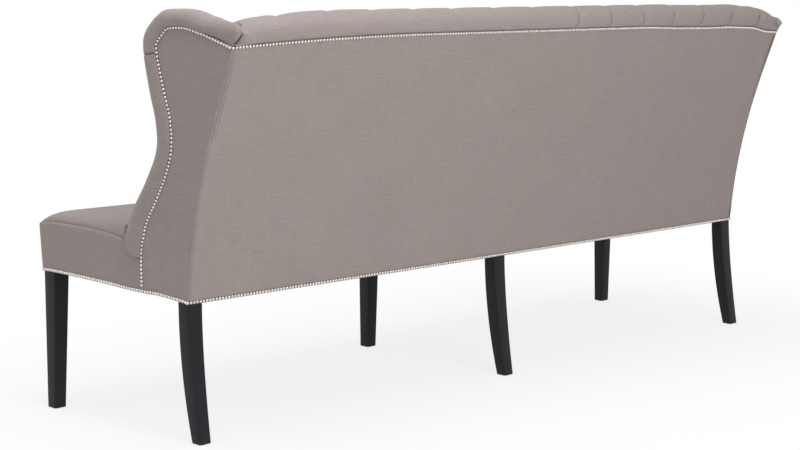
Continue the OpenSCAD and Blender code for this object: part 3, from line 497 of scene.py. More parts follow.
def linen(name, code):
    """Plain-woven linen: slubs across, faint streaks along, and the threads themselves, darkened
    towards near-black where the fold attribute paints shade.
    """
    cloth = Finish(name)
    x, y, z = (cloth.axis(cloth.place(), k) for k in range(3))
    on_end, on_top = (abs(cloth.axis(cloth.place("Normal"), k)) > least
                      for k, least in ((0, 0.72), (2, 0.78)))
    weft = x + (y - x) * on_end
    warp = z + (y - z) * on_top * (1 - on_end)

    def woven(across_scale, along_scale, detail):
        lay = cloth.add("ShaderNodeCombineXYZ", None, {0: weft * across_scale,
                                                       1: warp * along_scale, 2: on_end * 7.0})
        return cloth.noise(lay, 1.0, detail)

    slubs = woven(26.0, 400.0, 2.0)
    streaks = woven(260.0, 11.0, 2.0)
    patches = woven(5.0, 7.0, 1.0)
    threads = (weft * thread_turns).sine() * (warp * thread_turns).sine()
    tone = 0.5 + (slubs - 0.5) * 0.85 + (streaks - 0.5) * 0.42 + (patches - 0.5) * 0.2 \
        + threads * 0.04
    colour = cloth.ramp(tone, (0.12, dye(code, 0.80)), (0.5, dye(code)), (0.88, dye(code, 1.15)))
    # Painted shade: the fold attribute darkens the colour towards near-black in folds and grooves.
    folded = cloth.add("ShaderNodeAttribute", {"attribute_name": "fold"}, None, "Fac")
    return cloth.surface({
        "Base Color": cloth.blend(folded * 0.85, colour, dye(code, 0.10)),
        "Roughness": 0.86 - 0.1 * slubs, "Sheen Weight": 0.12, "Sheen Roughness": 0.5,
        "Specular IOR Level": 0.25, "Normal": cloth.bump(0.35, 0.0005, threads * 0.25 + slubs)})


taupe_linen = linen("taupe_linen", "978d8a")
snug = 0.0025


def paint_fold_shade(piece, shares):
    """Stores how much painted shade each point gets: the linen's colour is darkened there, as shade
    in a fold or groove.
    """
    piece.data.attributes.new("fold", "FLOAT", "POINT").data.foreach_set("value", shares)


def pad(name, lines, under):
    """A pad: lines of points over an underside that is given by two points a line."""
    m, n = len(lines), len(lines[0])
    at = m * n
    faces = [(i * n + j, (i + 1) * n + j, (i + 1) * n + j + 1, i * n + j + 1)
             for i in range(m - 1) for j in range(n - 1)]
    for i in range(m - 1):
        a, b = at + 2 * i, at + 2 * i + 2
        faces += [(a, a + 1, b + 1, b), (a, b, (i + 1) * n, i * n),
                  (a + 1, i * n + n - 1, (i + 1) * n + n - 1, b + 1)]
    faces += [(at + 1, at, *range(n)),
              (at + 2 * m - 2, at + 2 * m - 1, *range(at - 1, at - n - 1, -1))]
    return new_piece(name, row_after_row(lines) + row_after_row(under), faces)


def stuff(piece, free, cap, frames=20):
    """Blows a closed cover out by cloth simulation. free is 1 where the cloth may move and 0
    where it is tacked or sewn down; no point ends up more than cap from where it was."""
    held = piece.vertex_groups.new(name="held")
    for k, share in enumerate(free):
        held.add([k], 1 - float(share), "REPLACE")
    blown = piece.modifiers.new("blown", "CLOTH")
    for key, value in (("quality", 5), ("mass", 0.3), ("tension_stiffness", 15),
                       ("compression_stiffness", 15), ("bending_stiffness", 0.5),
                       ("use_pressure", True), ("uniform_pressure_force", 4),
                       ("vertex_group_mass", "held")):
        setattr(blown.settings, key, value)
    blown.settings.effector_weights.gravity = 0
    blown.point_cache.frame_end = frames
    for step in range(1, frames + 1):
        bpy.context.scene.frame_set(step)
    rest = np.zeros(len(piece.data.vertices) * 3)
    piece.data.vertices.foreach_get("co", rest)
    moved = np.zeros_like(rest)
    piece.evaluated_get(bpy.context.evaluated_depsgraph_get()).data.vertices.foreach_get(
        "co", moved)
    rest, moved = rest.reshape(-1, 3), moved.reshape(-1, 3)
    way = moved - rest
    far = np.linalg.norm(way, axis=1)[:, None]
    way *= np.minimum(1, cap / np.maximum(far, 1e-9)) * np.asarray(free, float)[:, None]
    piece.modifiers.remove(blown)
    piece.data.vertices.foreach_set("co", (rest + way).ravel())
    piece.data.update()
    bpy.context.scene.frame_set(1)
    piece.vertex_groups.clear()
    crease = piece.data.attributes.new("crease_edge", "FLOAT", "EDGE")
    shell = bmesh.new()
    shell.from_mesh(piece.data)
    shell.edges.ensure_lookup_table()
    hard = [float(free[e.verts[0].index] < 0.05 and free[e.verts[1].index] < 0.05
                  and e.calc_face_angle(0) > 0.9) for e in shell.edges]
    shell.free()
    crease.data.foreach_set("value", hard)
    finer = piece.modifiers.new("finer", "SUBSURF")
    finer.levels = finer.render_levels = 1


def smooth_curve(knots, places):
    """A smooth curve through knots, at places counted in knots."""
    knots = np.array(knots, float)
    last = len(knots) - 1
    found = []
    for p in places:
        i = min(last - 1, int(p))
        t = p - i
        a, b, c, d = knots[max(0, i - 1)], knots[i], knots[i + 1], knots[min(last, i + 2)]
        found.append((2 * b + (c - a) * t + (2 * a - 5 * b + 4 * c - d) * t * t
                      + (3 * b - a - 3 * c + d) * t ** 3) / 2)
    return np.array(found)


seam_z, seat_crown, front_round, front_deep, end_round = 0.497, 0.022, 0.030, 0.052, 0.034
cover_t, wing_t, pad_in, gap = 0.004, 0.061, 0.049, 0.0003
seat_low_z = rail_top_z + 2 * web_t + gap
front_top_z, step_y = seam_z + seat_crown * 0.86, -0.036443
seat_rear_y = back_y(seam_z) - pad_in - gap
seat_depth = seat_rear_y - front_y
seam_down, seam_wing_dip, seam_front_dip, front_dip_share = 0.0022, 0.0165, 0.0060, 0.16


def front_at(z):
    """The leaning front of the seat at a height."""
    return front_face_y - front_lean * (z - edge_front_z) \
        / (front_top_z - front_round - edge_front_z)


def seam_at(y):
    """Height of the seam along the end of the seat: it falls at the front and to the wing."""
    along = within((y - front_y) / (step_y - front_y))
    return seam_z - seam_down - seam_wing_dip * along ** 4 \
        - seam_front_dip * max(0, 1 - along / front_dip_share) ** 2


step_share = (step_y - front_y) / seat_depth
crown = [(0.087, 0.85), (0.17, 0.92), (0.35, 0.97), (0.50, 0.94), (step_share, 0.82),
         (0.76, 0.60), (0.875, 0.36), (1.0, 0.36)]
crown_line = smooth_curve(crown, np.linspace(0, 7, 57))
seat_rows = [(front_at(z) + 0.001, z, cover_t) for z in np.linspace(seat_low_z + cover_t,
                                                            front_top_z - front_round, 5)]
seat_rows += [(front_y + front_deep * (1 - math.cos(a)) + 0.001 * max(0, 1 - a),
               front_top_z - front_round * (1 - math.sin(a)), cover_t)
              for a in np.radians(np.linspace(12, 80, 8))]
for share, rise in crown_line:
    y = front_y + seat_depth * share
    if abs(share - step_share) < 0.004:
        seat_rows += [(step_y, seam_z + seat_crown * 0.82, cover_t),
                      (step_y + gap, seam_z + seat_crown * 0.82, wing_t + gap)]
    else:
        seat_rows.append((y, seam_z + seat_crown * rise, cover_t if y < step_y else wing_t + gap))
end_places = [0, 0.02, 0.07, 0.16, 0.3, 0.5, 0.75, 1]
across_places = np.linspace(1, 0, 46)[1:]
seat_lines, seat_under, seat_free = [], [], []
for y, z, inset in seat_rows:
    wide = half_w(y, inset)
    line = []
    low = min(z, seam_at(y)) if y < step_y else z - 0.004
    for s in end_places:
        line.append((wide - end_round * s, y, low + (z - low) * math.sqrt(1 - (1 - s) ** 2)))
    line += [((wide - end_round) * s, y, z) for s in across_places]
    seat_lines.append([(-px, py, pz) for px, py, pz in line[:-1]] + line[::-1])
    seat_under.append([(-wide, y, seat_low_z), (wide, y, seat_low_z)])
    for px, py, pz in seat_lines[-1]:
        from_end = min(1, (wide - abs(px)) / 0.03)
        seat_free.append(0.0 if py > seat_rear_y - 0.004 or pz < seat_low_z + 0.01
                         else max(0, from_end) * (0.25 if abs(py - step_y) < 0.004 else 1))
seat_free += [0.0] * (2 * len(seat_rows))
seat_cushion = pad("seat_cushion", seat_lines, seat_under)
stuff(seat_cushion, seat_free, snug)
fit(seat_cushion, "seat_pad", taupe_linen)

# Wings: a padded roll of linen bordering each ply wing. It starts in a curl over the seat, runs
# up and over the top, and ends in a rounded nose at the rear corner; a seam crosses its front.
wing_shares = [
    [0.705, 0.000, 0.75, 0.000], [0.773, 0.069, 1.12, 0.060], [0.742, 0.179, 1.05, 0.150],
    [0.632, 0.321, 0.99, 0.265], [0.575, 0.443, 0.93, 0.370], [0.643, 0.546, 0.94, 0.460],
    [0.792, 0.670, 0.91, 0.560], [0.957, 0.823, 0.84, 0.660], [0.998, 0.915, 0.86, 0.730],
    [0.889, 0.992, 0.80, 0.770], [0.770, 1.003, 0.67, 0.800], [0.568, 1.001, 0.64, 0.830],
    [0.379, 0.978, 0.62, 0.858]]
wing_low_z, wing_h, wing_depth, wing_bulge, wing_edge_t = 0.4403, 0.5997, 0.322, 0.008, 0.014
wing_pad_in = 0.026
last_station = 12.0
nail_z, drop_run = 0.978, 0.350
nail_dip, left_nail_dip, left_nail_bow = 0.018, 0.009, 0.004
left_sunk, left_top_sunk, left_nose_sunk, left_nose_in = 0.009, 0.003, 0.008, 0.005
corner_half_w = half_w(back_y(nail_z))


def nail_line_z(x):
    """Height of the nails along the back: they dip at both ends, lower still at the left one."""
    return nail_z - nail_dip * max(0, (abs(x) - 0.45) / 0.649) ** 2 \
        - left_nail_dip * ease((-x - 0.95) / 0.1) \
        - left_nail_bow * ease((-x - 0.4) / 0.2) * (1 - ease((-x - 0.7) / 0.15))


def settled(x, y, z):
    """The left-hand wing has sunk a little at its top, and most at its nose."""
    left = ease((-x - 1.045) / 0.035)
    nose = ease((y - 0.31) / 0.05) * ease((z - 0.955) / 0.05)
    sunk = left_sunk * ease((z - 0.80) / 0.15) + left_top_sunk * ease((z - 0.97) / 0.04) \
        + left_nose_sunk * nose
    return x, y - left_nose_in * nose * left, z - sunk * left


corner_z = nail_line_z(corner_half_w)
corner_y = back_y(corner_z)


def wing_row(p):
    return smooth_curve(wing_shares, [p])[0]


def wing_edge(p):
    row = wing_row(p)
    z = wing_low_z + row[1] * wing_h
    return np.array([back_y(z) - row[0] * wing_depth, z])


wing_end_y = wing_edge(last_station)[0]


def wing_hub(p):
    z = wing_low_z + wing_row(p)[3] * wing_h
    return np.array([min(back_y(z) - web_in - gap, wing_end_y - (last_station - p) * 3 * gap), z])


def way_in(p):
    """The way in from the wing's edge: level at its foot, then square to the edge."""
    if p <= 0:
        return np.array([1.0, 0.0])
    if p >= last_station:
        return np.array([0.0, -1.0])
    step = 1 / 3 + 0.55 * max(0, 1 - abs(p - 9.2) / 1.3)
    along = wing_edge(min(last_station, p + step)) - wing_edge(max(0, p - step))
    along /= np.linalg.norm(along)
    hub = wing_hub(p) - wing_edge(p)
    square = min(1, p / 3)
    way = np.array([along[1], -along[0]]) * square + hub / np.linalg.norm(hub) * (1 - square)
    return way / np.linalg.norm(way)


def face_w(p):
    return wing_row(p)[2] * 0.1 * wing_h


def in_from_edge(p, s):
    return wing_edge(p) + way_in(p) * s


join_y = wing_edge(0)[0] + face_w(0)
nail_end = in_from_edge(last_station, face_w(last_station))
seam_station, seam_half, seam_sink, foot_station, foot_sag = 6.95, 0.04, 0.0018, 0.5, 0.009
stations = sorted(set(list(np.linspace(foot_station, last_station, 96).round(4))
                      + [seam_station + k for k in (-0.08, -0.04, -0.015, 0, 0.015, 0.04, 0.08)]))


def section(into, f, hub, sunk=0.0, crisp=0.0):
    """Section of the roll. into gives a spot at a distance in from the edge, f is how far in
    the nails are, and crisp squares its outer edge. Points are (in from the end, y, z)."""
    out, edge_t = wing_bulge, wing_edge_t
    round_off = 1 - 0.75 * crisp
    knots = [(f, 0.0015), (f * 1.045, -0.45 * out), (f, -0.85 * out), (f * 0.86, -1.06 * out),
             (f * 0.62, -1.05 * out), (edge_t * 1.5 * round_off, -0.95 * out),
             (edge_t * 0.7 * round_off, -0.35 * out),
             (edge_t * 0.14 * round_off, wing_t * 0.16), (0.0, wing_t * 0.42),
             (edge_t * 0.22, wing_t * 0.68), (edge_t * 0.9, wing_t * 0.9), (f * 0.62, wing_t)]
    skin = smooth_curve(knots, np.linspace(0, len(knots) - 1, 2 * len(knots) - 1))
    ring = [(d + (sunk if d < 0.004 else 0), *into(s + (sunk if s < edge_t else 0)))
            for s, d in skin]
    ring += [(wing_t, *(into(f * 0.62) * (1 - k) + hub * k)) for k in (0.5, 1.0)]
    inner = min(edge_t - gap, f * 0.9)
    ring += [(wing_pad_in + gap, *hub), (wing_pad_in + gap, *into(inner)),
             (cover_t - gap, *into(inner)), (cover_t - gap, *into(f))]
    return ring


def wing_ring(p):
    sunk = max(0.0, 1 - abs(p - seam_station) / seam_half) * seam_sink
    return section(lambda s: in_from_edge(p, s), face_w(p), wing_hub(p), sunk,
                   max(0, 1 - (p - foot_station)))


def foot_ring(turn):
    """The curl under the wing's foot: sections that fan round the lowest nail."""
    nail, edge = in_from_edge(foot_station, face_w(foot_station)), wing_edge(foot_station)
    drop = np.array([0.0, wing_low_z - nail[1]])
    way = (edge - nail) * math.cos(turn) + drop * math.sin(turn)
    far = np.linalg.norm(way)
    hub = wing_hub(foot_station)
    hub = np.array([hub[0], hub[1] + (wing_low_z - hub[1]) * math.sin(turn)])
    nail = nail + drop * 0.05 * math.sin(turn)
    ring = section(lambda s: nail + way / far * (far - s), far, hub, 0.0, 1.0)
    sag = foot_sag * math.sin(turn)
    return [(d, y, z - sag * within((nail[1] - z) / far) * (d < 0.006)) for d, y, z in ring]


# The nose is the roll's last stretch, from the top of the wing to the rear corner, where it ends
# in a soft three-cornered cushion that tapers to the corner nail.
nose_cap, nose_proud, nose_top_drop, nose_mid = 0.030, 0.009, 0.013, 0.005
nose_outline = [(0.0, 0.0), (-0.0035, 0.07), (-0.0066, 0.20), (-0.0078, 0.38), (-0.0076, 0.57),
                (-0.0050, 0.75), (-0.0008, 0.90), (0.0040, 0.99), (0.0080, 1.0), (0.0115, 0.93),
                (0.0136, 0.77), (0.0150, 0.57), (0.0164, 0.35), (0.0160, 0.15)]
end_ring = wing_ring(last_station)
ring_size = len(end_ring)
nose_shape = smooth_curve(nose_outline + nose_outline[:1],
                          np.arange(ring_size) * len(nose_outline) / ring_size)
nose_pull = np.maximum(0, 1 - np.minimum(np.arange(ring_size),
                                         ring_size - np.arange(ring_size)) / 3.5)
cap_turns = [8, 16, 24, 32, 40, 48, 56, 63, 70, 76, 81, 85, 88]


def nose_ring(run, cap_turn=0.0):
    """A section of the nose: run goes from the wing to its cap, cap_turn round the cap."""
    low_y = nail_end[0] + (corner_y - nose_cap - nail_end[0]) * run
    low = nail_end[1] + (corner_z - nail_end[1]) * (low_y - nail_end[0]) / (corner_y - nail_end[0])
    top = wing_edge(last_station)[1] - nose_top_drop * run
    ahead = math.sin(cap_turn)
    wide, tall = (1 - ahead ** 3.6) ** (1 / 3.6), math.cos(cap_turn)
    was_low, was_high = end_ring[0][2], max(p[2] for p in end_ring)
    ring = []
    for k, (d, y, z) in enumerate(end_ring):
        z = low + (max(z, was_low) - was_low) * (top - low) / (was_high - was_low)
        d += (nose_shape[k][0] - d) * ease(run)
        z += (low + (top - low) * nose_shape[k][1] - z) * ease(run)
        pull = nose_pull[k]
        rest_d, rest_z = nose_mid * (1 - pull), low + (top - low) * 0.48 * (1 - pull)
        rest_z += (corner_z - low) * pull
        d = rest_d + (d - rest_d) * (wide + (1 - ahead - wide) * pull)
        z = rest_z + (z - rest_z) * (tall + (1 - ahead - tall) * pull)
        y = wing_end_y * (1 - run) + (back_y(z) - nose_cap) * run
        ring.append((d, y + (nose_cap + nose_proud * (1 - pull)) * ahead, z))
    return ring


wing_rings = [foot_ring(math.radians(90 - 15 * k)) for k in range(6)]
seam_rings = [len(wing_rings) + k for k, p in enumerate(stations)
              if abs(p - seam_station) < 0.06]
wing_rings += [wing_ring(p) for p in stations] + [nose_ring(k / 8) for k in range(1, 9)]
wing_rings += [nose_ring(1, math.radians(turn)) for turn in cap_turns]
cap_start = len(wing_rings) - len(cap_turns)
wing_free, wing_fold_shade = [], []
for i in range(len(wing_rings)):
    for j in range(ring_size):
        free = 1.0 if 2 < j < 22 and 1 < i < len(wing_rings) - 6 else 0.0
        wing_free.append(free * (0.15 if i in seam_rings else 0.4 if i > cap_start else 1))
        # Painted shade: the linen is darkened along the seam's groove and in the groove of the curl
        # under the wing's foot.
        sewn = i < len(stations) + 6 and 2 < j < 22 and i in seam_rings[2:5]
        curled = 10 < j < 17 and i < 12
        wing_fold_shade.append(0.8 if sewn else (1 - i / 12) ** 0.5 if curled else 0.0)
for side, word in ((1, "right"), (-1, "left")):
    wing_roll = skin("wing_roll_" + word,
                     [[settled(side * half_w(y, d), y, z) for d, y, z in ring]
                      for ring in wing_rings])
    paint_fold_shade(wing_roll, wing_fold_shade)
    stuff(wing_roll, wing_free, snug)
    fit(wing_roll, "wing_pad_" + word, taupe_linen)

# Inside back: deep-buttoned linen over foam and fibre. The buttons sit on a diamond lattice, the
# cloth is folded from button to button, and upright folds run on up and down from the end rows.
tuft_pitch, row_gap, rows = 0.1462, 0.105, 4
top_row_z = nail_z - 0.073
low_row_z = top_row_z - (rows - 1) * row_gap
tuft_depth, fold_depth, back_pad_t, back_across = 0.030, 0.014, 0.058, 229
pad_low_z = seam_z + seat_crown * 0.36 + gap


def tuft_at(x, z):
    """Depth of the tufting: deepest at a button, less along a fold, none on a diamond."""
    zi = min(top_row_z, max(low_row_z, z))
    q = (top_row_z - zi) / (2 * row_gap)
    p = x / tuft_pitch + 0.5
    pillow = abs(math.sin(math.pi * (p + q)) * math.sin(math.pi * (p - q))) ** 0.55
    fade = max(0, 1 - abs(z - zi) / (row_gap / 3))
    button = (math.cos(math.pi * (p + q)) * math.cos(math.pi * (p - q))) ** 2 \
        * (1 - pillow) * fade
    return tuft_depth * button + fold_depth * (1 - pillow) * (1 - button)


def pad_front_y(x, z):
    return back_y(z) - pad_in - back_pad_t + tuft_at(x, z)


back_zs = np.linspace(pad_low_z, pad_high_z, 52)
back_lines, back_under, back_free = [], [], []
for z in back_zs:
    edge_y = back_y(z) - pad_in - back_pad_t + fold_depth * 0.4
    wide = half_w(edge_y, wing_t + gap)
    xs = np.linspace(-wide, wide, back_across)
    back_lines.append([(x, edge_y if k in (0, back_across - 1) else pad_front_y(x, z), z)
                       for k, x in enumerate(xs)])
    rear = back_y(z) - pad_in - gap
    wide = half_w(rear, wing_t + gap)
    back_under.append([(-wide, rear, z), (wide, rear, z)])
    for k, x in enumerate(xs):
        sewn = tuft_at(x, z) / fold_depth
        ends = within(min(k, back_across - 1 - k) / 3)
        border = within(min(z - pad_low_z, pad_high_z - z) / 0.012)
        back_free.append(within(1.25 - sewn) * ends * border)
back_free += [0.0] * (2 * len(back_zs))
inside_back = pad("inside_back", back_lines, back_under)
stuff(inside_back, back_free, 0.007)
fit(inside_back, "inside_back_pad", taupe_linen)


# Buttons: linen-covered shells, 22 mm across, each tied through the pad by a waxed twine at a
# crossing of the diamond folds.
def studded(name, spots, facing, head, finish, pitch=None, long_way=False):
    """Sets a head on each spot, or along the lines through the spots at an even pitch, facing
    out of the cloth. spots is a list of lines; facing holds a direction for each spot."""
    carrier_mesh = bpy.data.meshes.new(name + "_line")
    edges, at = [], 0
    for line in spots:
        edges += [(at + k, at + k + 1) for k in range(len(line) - 1)] if pitch else []
        at += len(line)
    carrier_mesh.from_pydata([tuple(p) for p in row_after_row(spots)], edges, [])
    outward = carrier_mesh.attributes.new("outward", "FLOAT_VECTOR", "POINT")
    outward.data.foreach_set("vector", [c for line in facing for v in line for c in v])
    carrier = bpy.data.objects.new(name + "_line", carrier_mesh)
    bpy.context.collection.objects.link(carrier)
    tree = bpy.data.node_groups.new(name + "_setting", "GeometryNodeTree")
    sockets = {}
    for label, kind, way in (("Line", "NodeSocketGeometry", "INPUT"),
                             ("Head", "NodeSocketObject", "INPUT"),
                             ("Pitch", "NodeSocketFloat", "INPUT"),
                             ("Turn", "NodeSocketFloat", "INPUT"),
                             ("Set", "NodeSocketGeometry", "OUTPUT")):
        sockets[label] = tree.interface.new_socket(label, in_out=way, socket_type=kind)

    def node(kind, settings=None, **wired):
        made = tree.nodes.new(kind)
        for key, value in (settings or {}).items():
            setattr(made, key, value)
        for key, value in wired.items():
            socket = made.inputs[key.replace("_", " ")]
            if isinstance(value, bpy.types.NodeSocket):
                tree.links.new(value, socket)
            else:
                socket.default_value = value
        return made

    given = node("NodeGroupInput").outputs
    places = given["Line"]
    if pitch:
        curve = node("GeometryNodeMeshToCurve", Mesh=places).outputs[0]
        places = node("GeometryNodeResampleCurve", {"mode": "LENGTH"}, Curve=curve,
                      Length=given["Pitch"]).outputs[0]
    out = node("GeometryNodeInputNamedAttribute", {"data_type": "FLOAT_VECTOR"}, Name="outward")
    stand = node("FunctionNodeAlignRotationToVector", {"axis": "Z"},
                 Vector=out.outputs[0]).outputs[0]
    if long_way:
        tangent = node("GeometryNodeInputTangent").outputs[0]
        stand = node("FunctionNodeAlignRotationToVector", {"axis": "X", "pivot_axis": "Z"},
                     Rotation=stand, Vector=tangent).outputs[0]
    spin = node("FunctionNodeRandomValue", {"data_type": "FLOAT"}, Seed=11)
    spin.inputs[2].default_value = -1
    spin.inputs[3].default_value = 1
    turned = node("ShaderNodeMath", {"operation": "MULTIPLY"})
    tree.links.new(spin.outputs[1], turned.inputs[0])
    tree.links.new(given["Turn"], turned.inputs[1])
    axis = node("FunctionNodeAxisAngleToRotation", Axis=(0, 0, 1), Angle=turned.outputs[0])
    stand = node("FunctionNodeRotateRotation", {"rotation_space": "LOCAL"}, Rotation=stand,
                 Rotate_By=axis.outputs[0]).outputs[0]
    shape = node("GeometryNodeObjectInfo", Object=given["Head"]).outputs["Geometry"]
    placed = node("GeometryNodeInstanceOnPoints", Points=places, Instance=shape,
                  Rotation=stand).outputs[0]
    real = node("GeometryNodeRealizeInstances", Geometry=placed).outputs[0]
    coated = node("GeometryNodeSetMaterial", Geometry=real, Material=finish).outputs[0]
    tree.links.new(coated, node("NodeGroupOutput").inputs[0])
    setting = carrier.modifiers.new("setting", "NODES")
    setting.node_group = tree
    setting[sockets["Head"].identifier] = head
    setting[sockets["Pitch"].identifier] = pitch or 0.01
    setting[sockets["Turn"].identifier] = 0.0 if long_way else math.pi
    ready = carrier.evaluated_get(bpy.context.evaluated_depsgraph_get())
    mesh = bpy.data.meshes.new_from_object(ready)
    mesh.name = name
    bpy.data.objects.remove(carrier)
    piece = bpy.data.objects.new(name, mesh)
    bpy.context.collection.objects.link(piece)
    mesh.polygons.foreach_set("use_smooth", [True] * len(mesh.polygons))
    return piece


def turned_head(name, profile, around):
    """A small head turned from (radius, height) points, with a flat underside."""
    turns = [2 * math.pi * k / around for k in range(around)]
    return skin(name, [[(r * math.cos(a), r * math.sin(a), h) for a in turns]
                       for r, h in profile])


def back_out(z, way=-1.0):
    """The way square out of the back at a height: to the front, or with way 1 to the rear."""
    slope = (back_y(z + 0.001) - back_y(z - 0.001)) / 0.002
    out = np.array([0.0, way, -way * slope])
    return out / np.linalg.norm(out)


wing_in_x, button_r = 1.04208, 0.022
button_spots, button_facing = [], []
for row in range(rows):
    z = top_row_z - row * row_gap
    for k in range(-8, 9):
        x = (k + (0.5 if row % 2 == 0 else 0.0)) * tuft_pitch
        if abs(x) < wing_in_x - button_r:
            out = back_out(z)
            button_spots.append(np.array([x, pad_front_y(x, z), z]) + out * 0.001)
            button_facing.append(out)
button_head = turned_head("button_head", [
    (0.0030, 0.0), (0.0108, 0.0035), (0.0112, 0.0058), (0.0102, 0.0088), (0.0070, 0.0112),
    (0.0030, 0.0122)], 16)
buttons = studded("covered_buttons", [button_spots], [button_facing], button_head, taupe_linen)
bpy.data.objects.remove(button_head)
fit(buttons, "tuft_buttons")

# Top roll: a roll of fibre along the top of the back, its linen drawn in at fourteen pleats that
# are laid over to one side and nailed down behind. It sinks towards both rear corners.
roll_r, roll_c_z = 0.052, 0.986
roll_low_z = roll_c_z - roll_r * 0.6
pleats = [  # place on the frame; places at the nail, the fullest part and the crest
    (-0.9503, (-0.955, -0.976, -1.006)), (-0.8041, (-0.810, -0.833, -0.866)),
    (-0.6579, (-0.661, -0.688, -0.720)), (-0.5117, (-0.517, -0.545, -0.572)),
    (-0.3655, (-0.380, -0.408, -0.418)), (-0.2193, (-0.238, -0.259, -0.275)),
    (-0.0731, (-0.091, -0.116, -0.130)), (0.0731, (0.060, 0.040, 0.034)),
    (0.2193, (0.213, 0.196, 0.188)), (0.3655, (0.374, 0.360, 0.352)),
    (0.5117, (0.515, 0.498, 0.490)), (0.6579, (0.660, 0.641, 0.636)),
    (0.8041, (0.806, 0.788, 0.782)), (0.9503, (0.955, 0.940, 0.934))]
pleat_depth, roll_end_x, post_in = 0.0100, 1.0975, 0.007
roll_sink, right_sink, lean_out, under_right, under_left = 0.026, 0.009, 0.374, 0.009, 0.002
bay = [  # share of the way to the next pleat, overlap of the fold, depth of the fold
    (0.0, 0.0, 1.0), (0.004, -0.0026, 0.70), (0.010, -0.0036, 0.36), (0.020, -0.0018, 0.12),
    (0.040, 0.0, 0.02), (0.09, 0.0, 0.0), (0.17, 0.0, 0.0), (0.28, 0.0, 0.0), (0.40, 0.0, 0.0),
    (0.52, 0.0, 0.0), (0.64, 0.0, 0.02), (0.75, 0.0, 0.09), (0.84, 0.0, 0.22),
    (0.91, 0.0, 0.40), (0.96, 0.0, 0.62), (0.988, 0.0, 0.86)]
end_shares = [0.03, 0.08, 0.15, 0.24, 0.34, 0.44, 0.53, 0.61, 0.66, 0.70, 0.73, 0.75, 0.77,
              0.79, 0.81, 0.83, 0.85, 0.87, 0.89, 0.91, 0.93, 0.955, 0.98, 1.0]
roll_turns = list(np.linspace(-14, 196, 36))


def pleat_shift(home, places, turn):
    """Where a pleat runs round the roll: from its nail, out, over the crest and down inside."""
    nailed, bulge, crest = places
    out, over = bulge - nailed, crest - bulge
    return np.interp(turn, (-14, -7, 0, 5, 10, 17, 26, 36, 54, 76, 110, 196),
                     (nailed, nailed + 0.10 * out, nailed + 0.34 * out, nailed + 0.64 * out,
                      nailed + 0.87 * out, bulge, bulge + 0.28 * over, bulge + 0.55 * over,
                      bulge + 0.64 * over, crest, crest + 0.25 * (home - crest), home))


# Places along the left half of the roll, and how far its middle has sunk there.
left_sink = ((0.56, 0.65, 0.75, 0.80, 0.85, 0.90, 0.95, 1.00, 1.03, 1.05, 1.075, 1.0975),
             (0.0, 0.003, 0.003, 0.004, 0.006, 0.008, 0.009, 0.011, 0.015, 0.020, 0.0275, 0.034))


def roll_point(x, turn, depth):
    """A point of the roll at a turn up and over from behind, depth under its full surface. At
    both ends it leans with the back and sinks away under the noses of the wings."""
    lean = min(1.0, max(0.0, (abs(x) - corner_half_w + drop_run) / drop_run) ** 1.7)
    under = ease((abs(x) - 1.055) / 0.022)
    middle_z = roll_c_z - (np.interp(-x, *left_sink) if x < 0
                           else roll_sink * lean + right_sink * ease((x - 1.015) / 0.06))
    nailed_z = nail_line_z(x) + gap
    a = math.radians(turn)
    r = roll_r - depth
    y = back_y(middle_z) + 0.004 - roll_r + r * math.cos(a) \
        + lean_out * r * max(0.0, math.sin(a) * math.cos(a)) * lean
    z = middle_z + r * math.sin(a)
    if turn < 20:
        low = (20 - turn) / 34
        y += (back_y(nailed_z) - 0.001 - y) * low ** 2.2
        z += (nailed_z - z) * low ** 0.8
    if turn > 150:
        low = ((turn - 150) / 46) ** 1.3
        y += (back_y(roll_low_z) - pad_in - back_pad_t + tuft_at(x, roll_low_z) - 0.001 - y) * low
        z += (roll_low_z - z) * low
    if turn > 0:
        y -= (under_right if x > 0 else under_left) * under * max(0.0, math.cos(a))
    if z < roll_c_z + 0.003 and turn < 90:
        y = max(y, back_y(z) - post_in + 0.0015)
    hidden = ease((abs(x) - 1.074) / 0.024)
    z = nailed_z + (z - nailed_z) * (1 - 0.3 * hidden)
    clear = wing_end_y - 0.004 if abs(x) > 1.036 else -1
    return x, max(y, clear), z


def roll_ring(xs, depths):
    """A closed section of the roll, with its pocket over the back's frame."""
    ring = [roll_point(x, t, d) for x, t, d in zip(xs, roll_turns, depths)]
    x, nailed_z = xs[0], nail_line_z(xs[0]) + gap
    pocket = [(back_y(roll_low_z) - web_in - gap, roll_low_z),
              (back_y(roll_c_z) - web_in - gap, roll_c_z + gap),
              (back_y(roll_c_z) - post_in + gap, roll_c_z + gap),
              (back_y(nailed_z) - post_in + gap, nailed_z)]
    return ring + [(x, max(y, ring[-1][1] + 0.002), z) for y, z in pocket]


def crease(x, z):
    """Painted shade: 1 where the roll dives under the nose of a wing, round a line that curls to
    the corner.
    """
    start = np.interp(z, (0.955, 0.963, 0.970, 0.981, 0.992, 1.000, 1.007),
                      (1.091, 1.084, 1.0755, 1.0712, 1.0675, 1.0645, 1.051))
    return within((x - start) / 0.003)


roll_rings, roll_free, roll_fold_shade = [], [], []


def smooth(turn, right):
    """How much of a fold is left: the right half is drawn smooth behind, up to the crest."""
    return 0.12 + 0.88 * ease((turn - 45) / 35) if right else 1.0


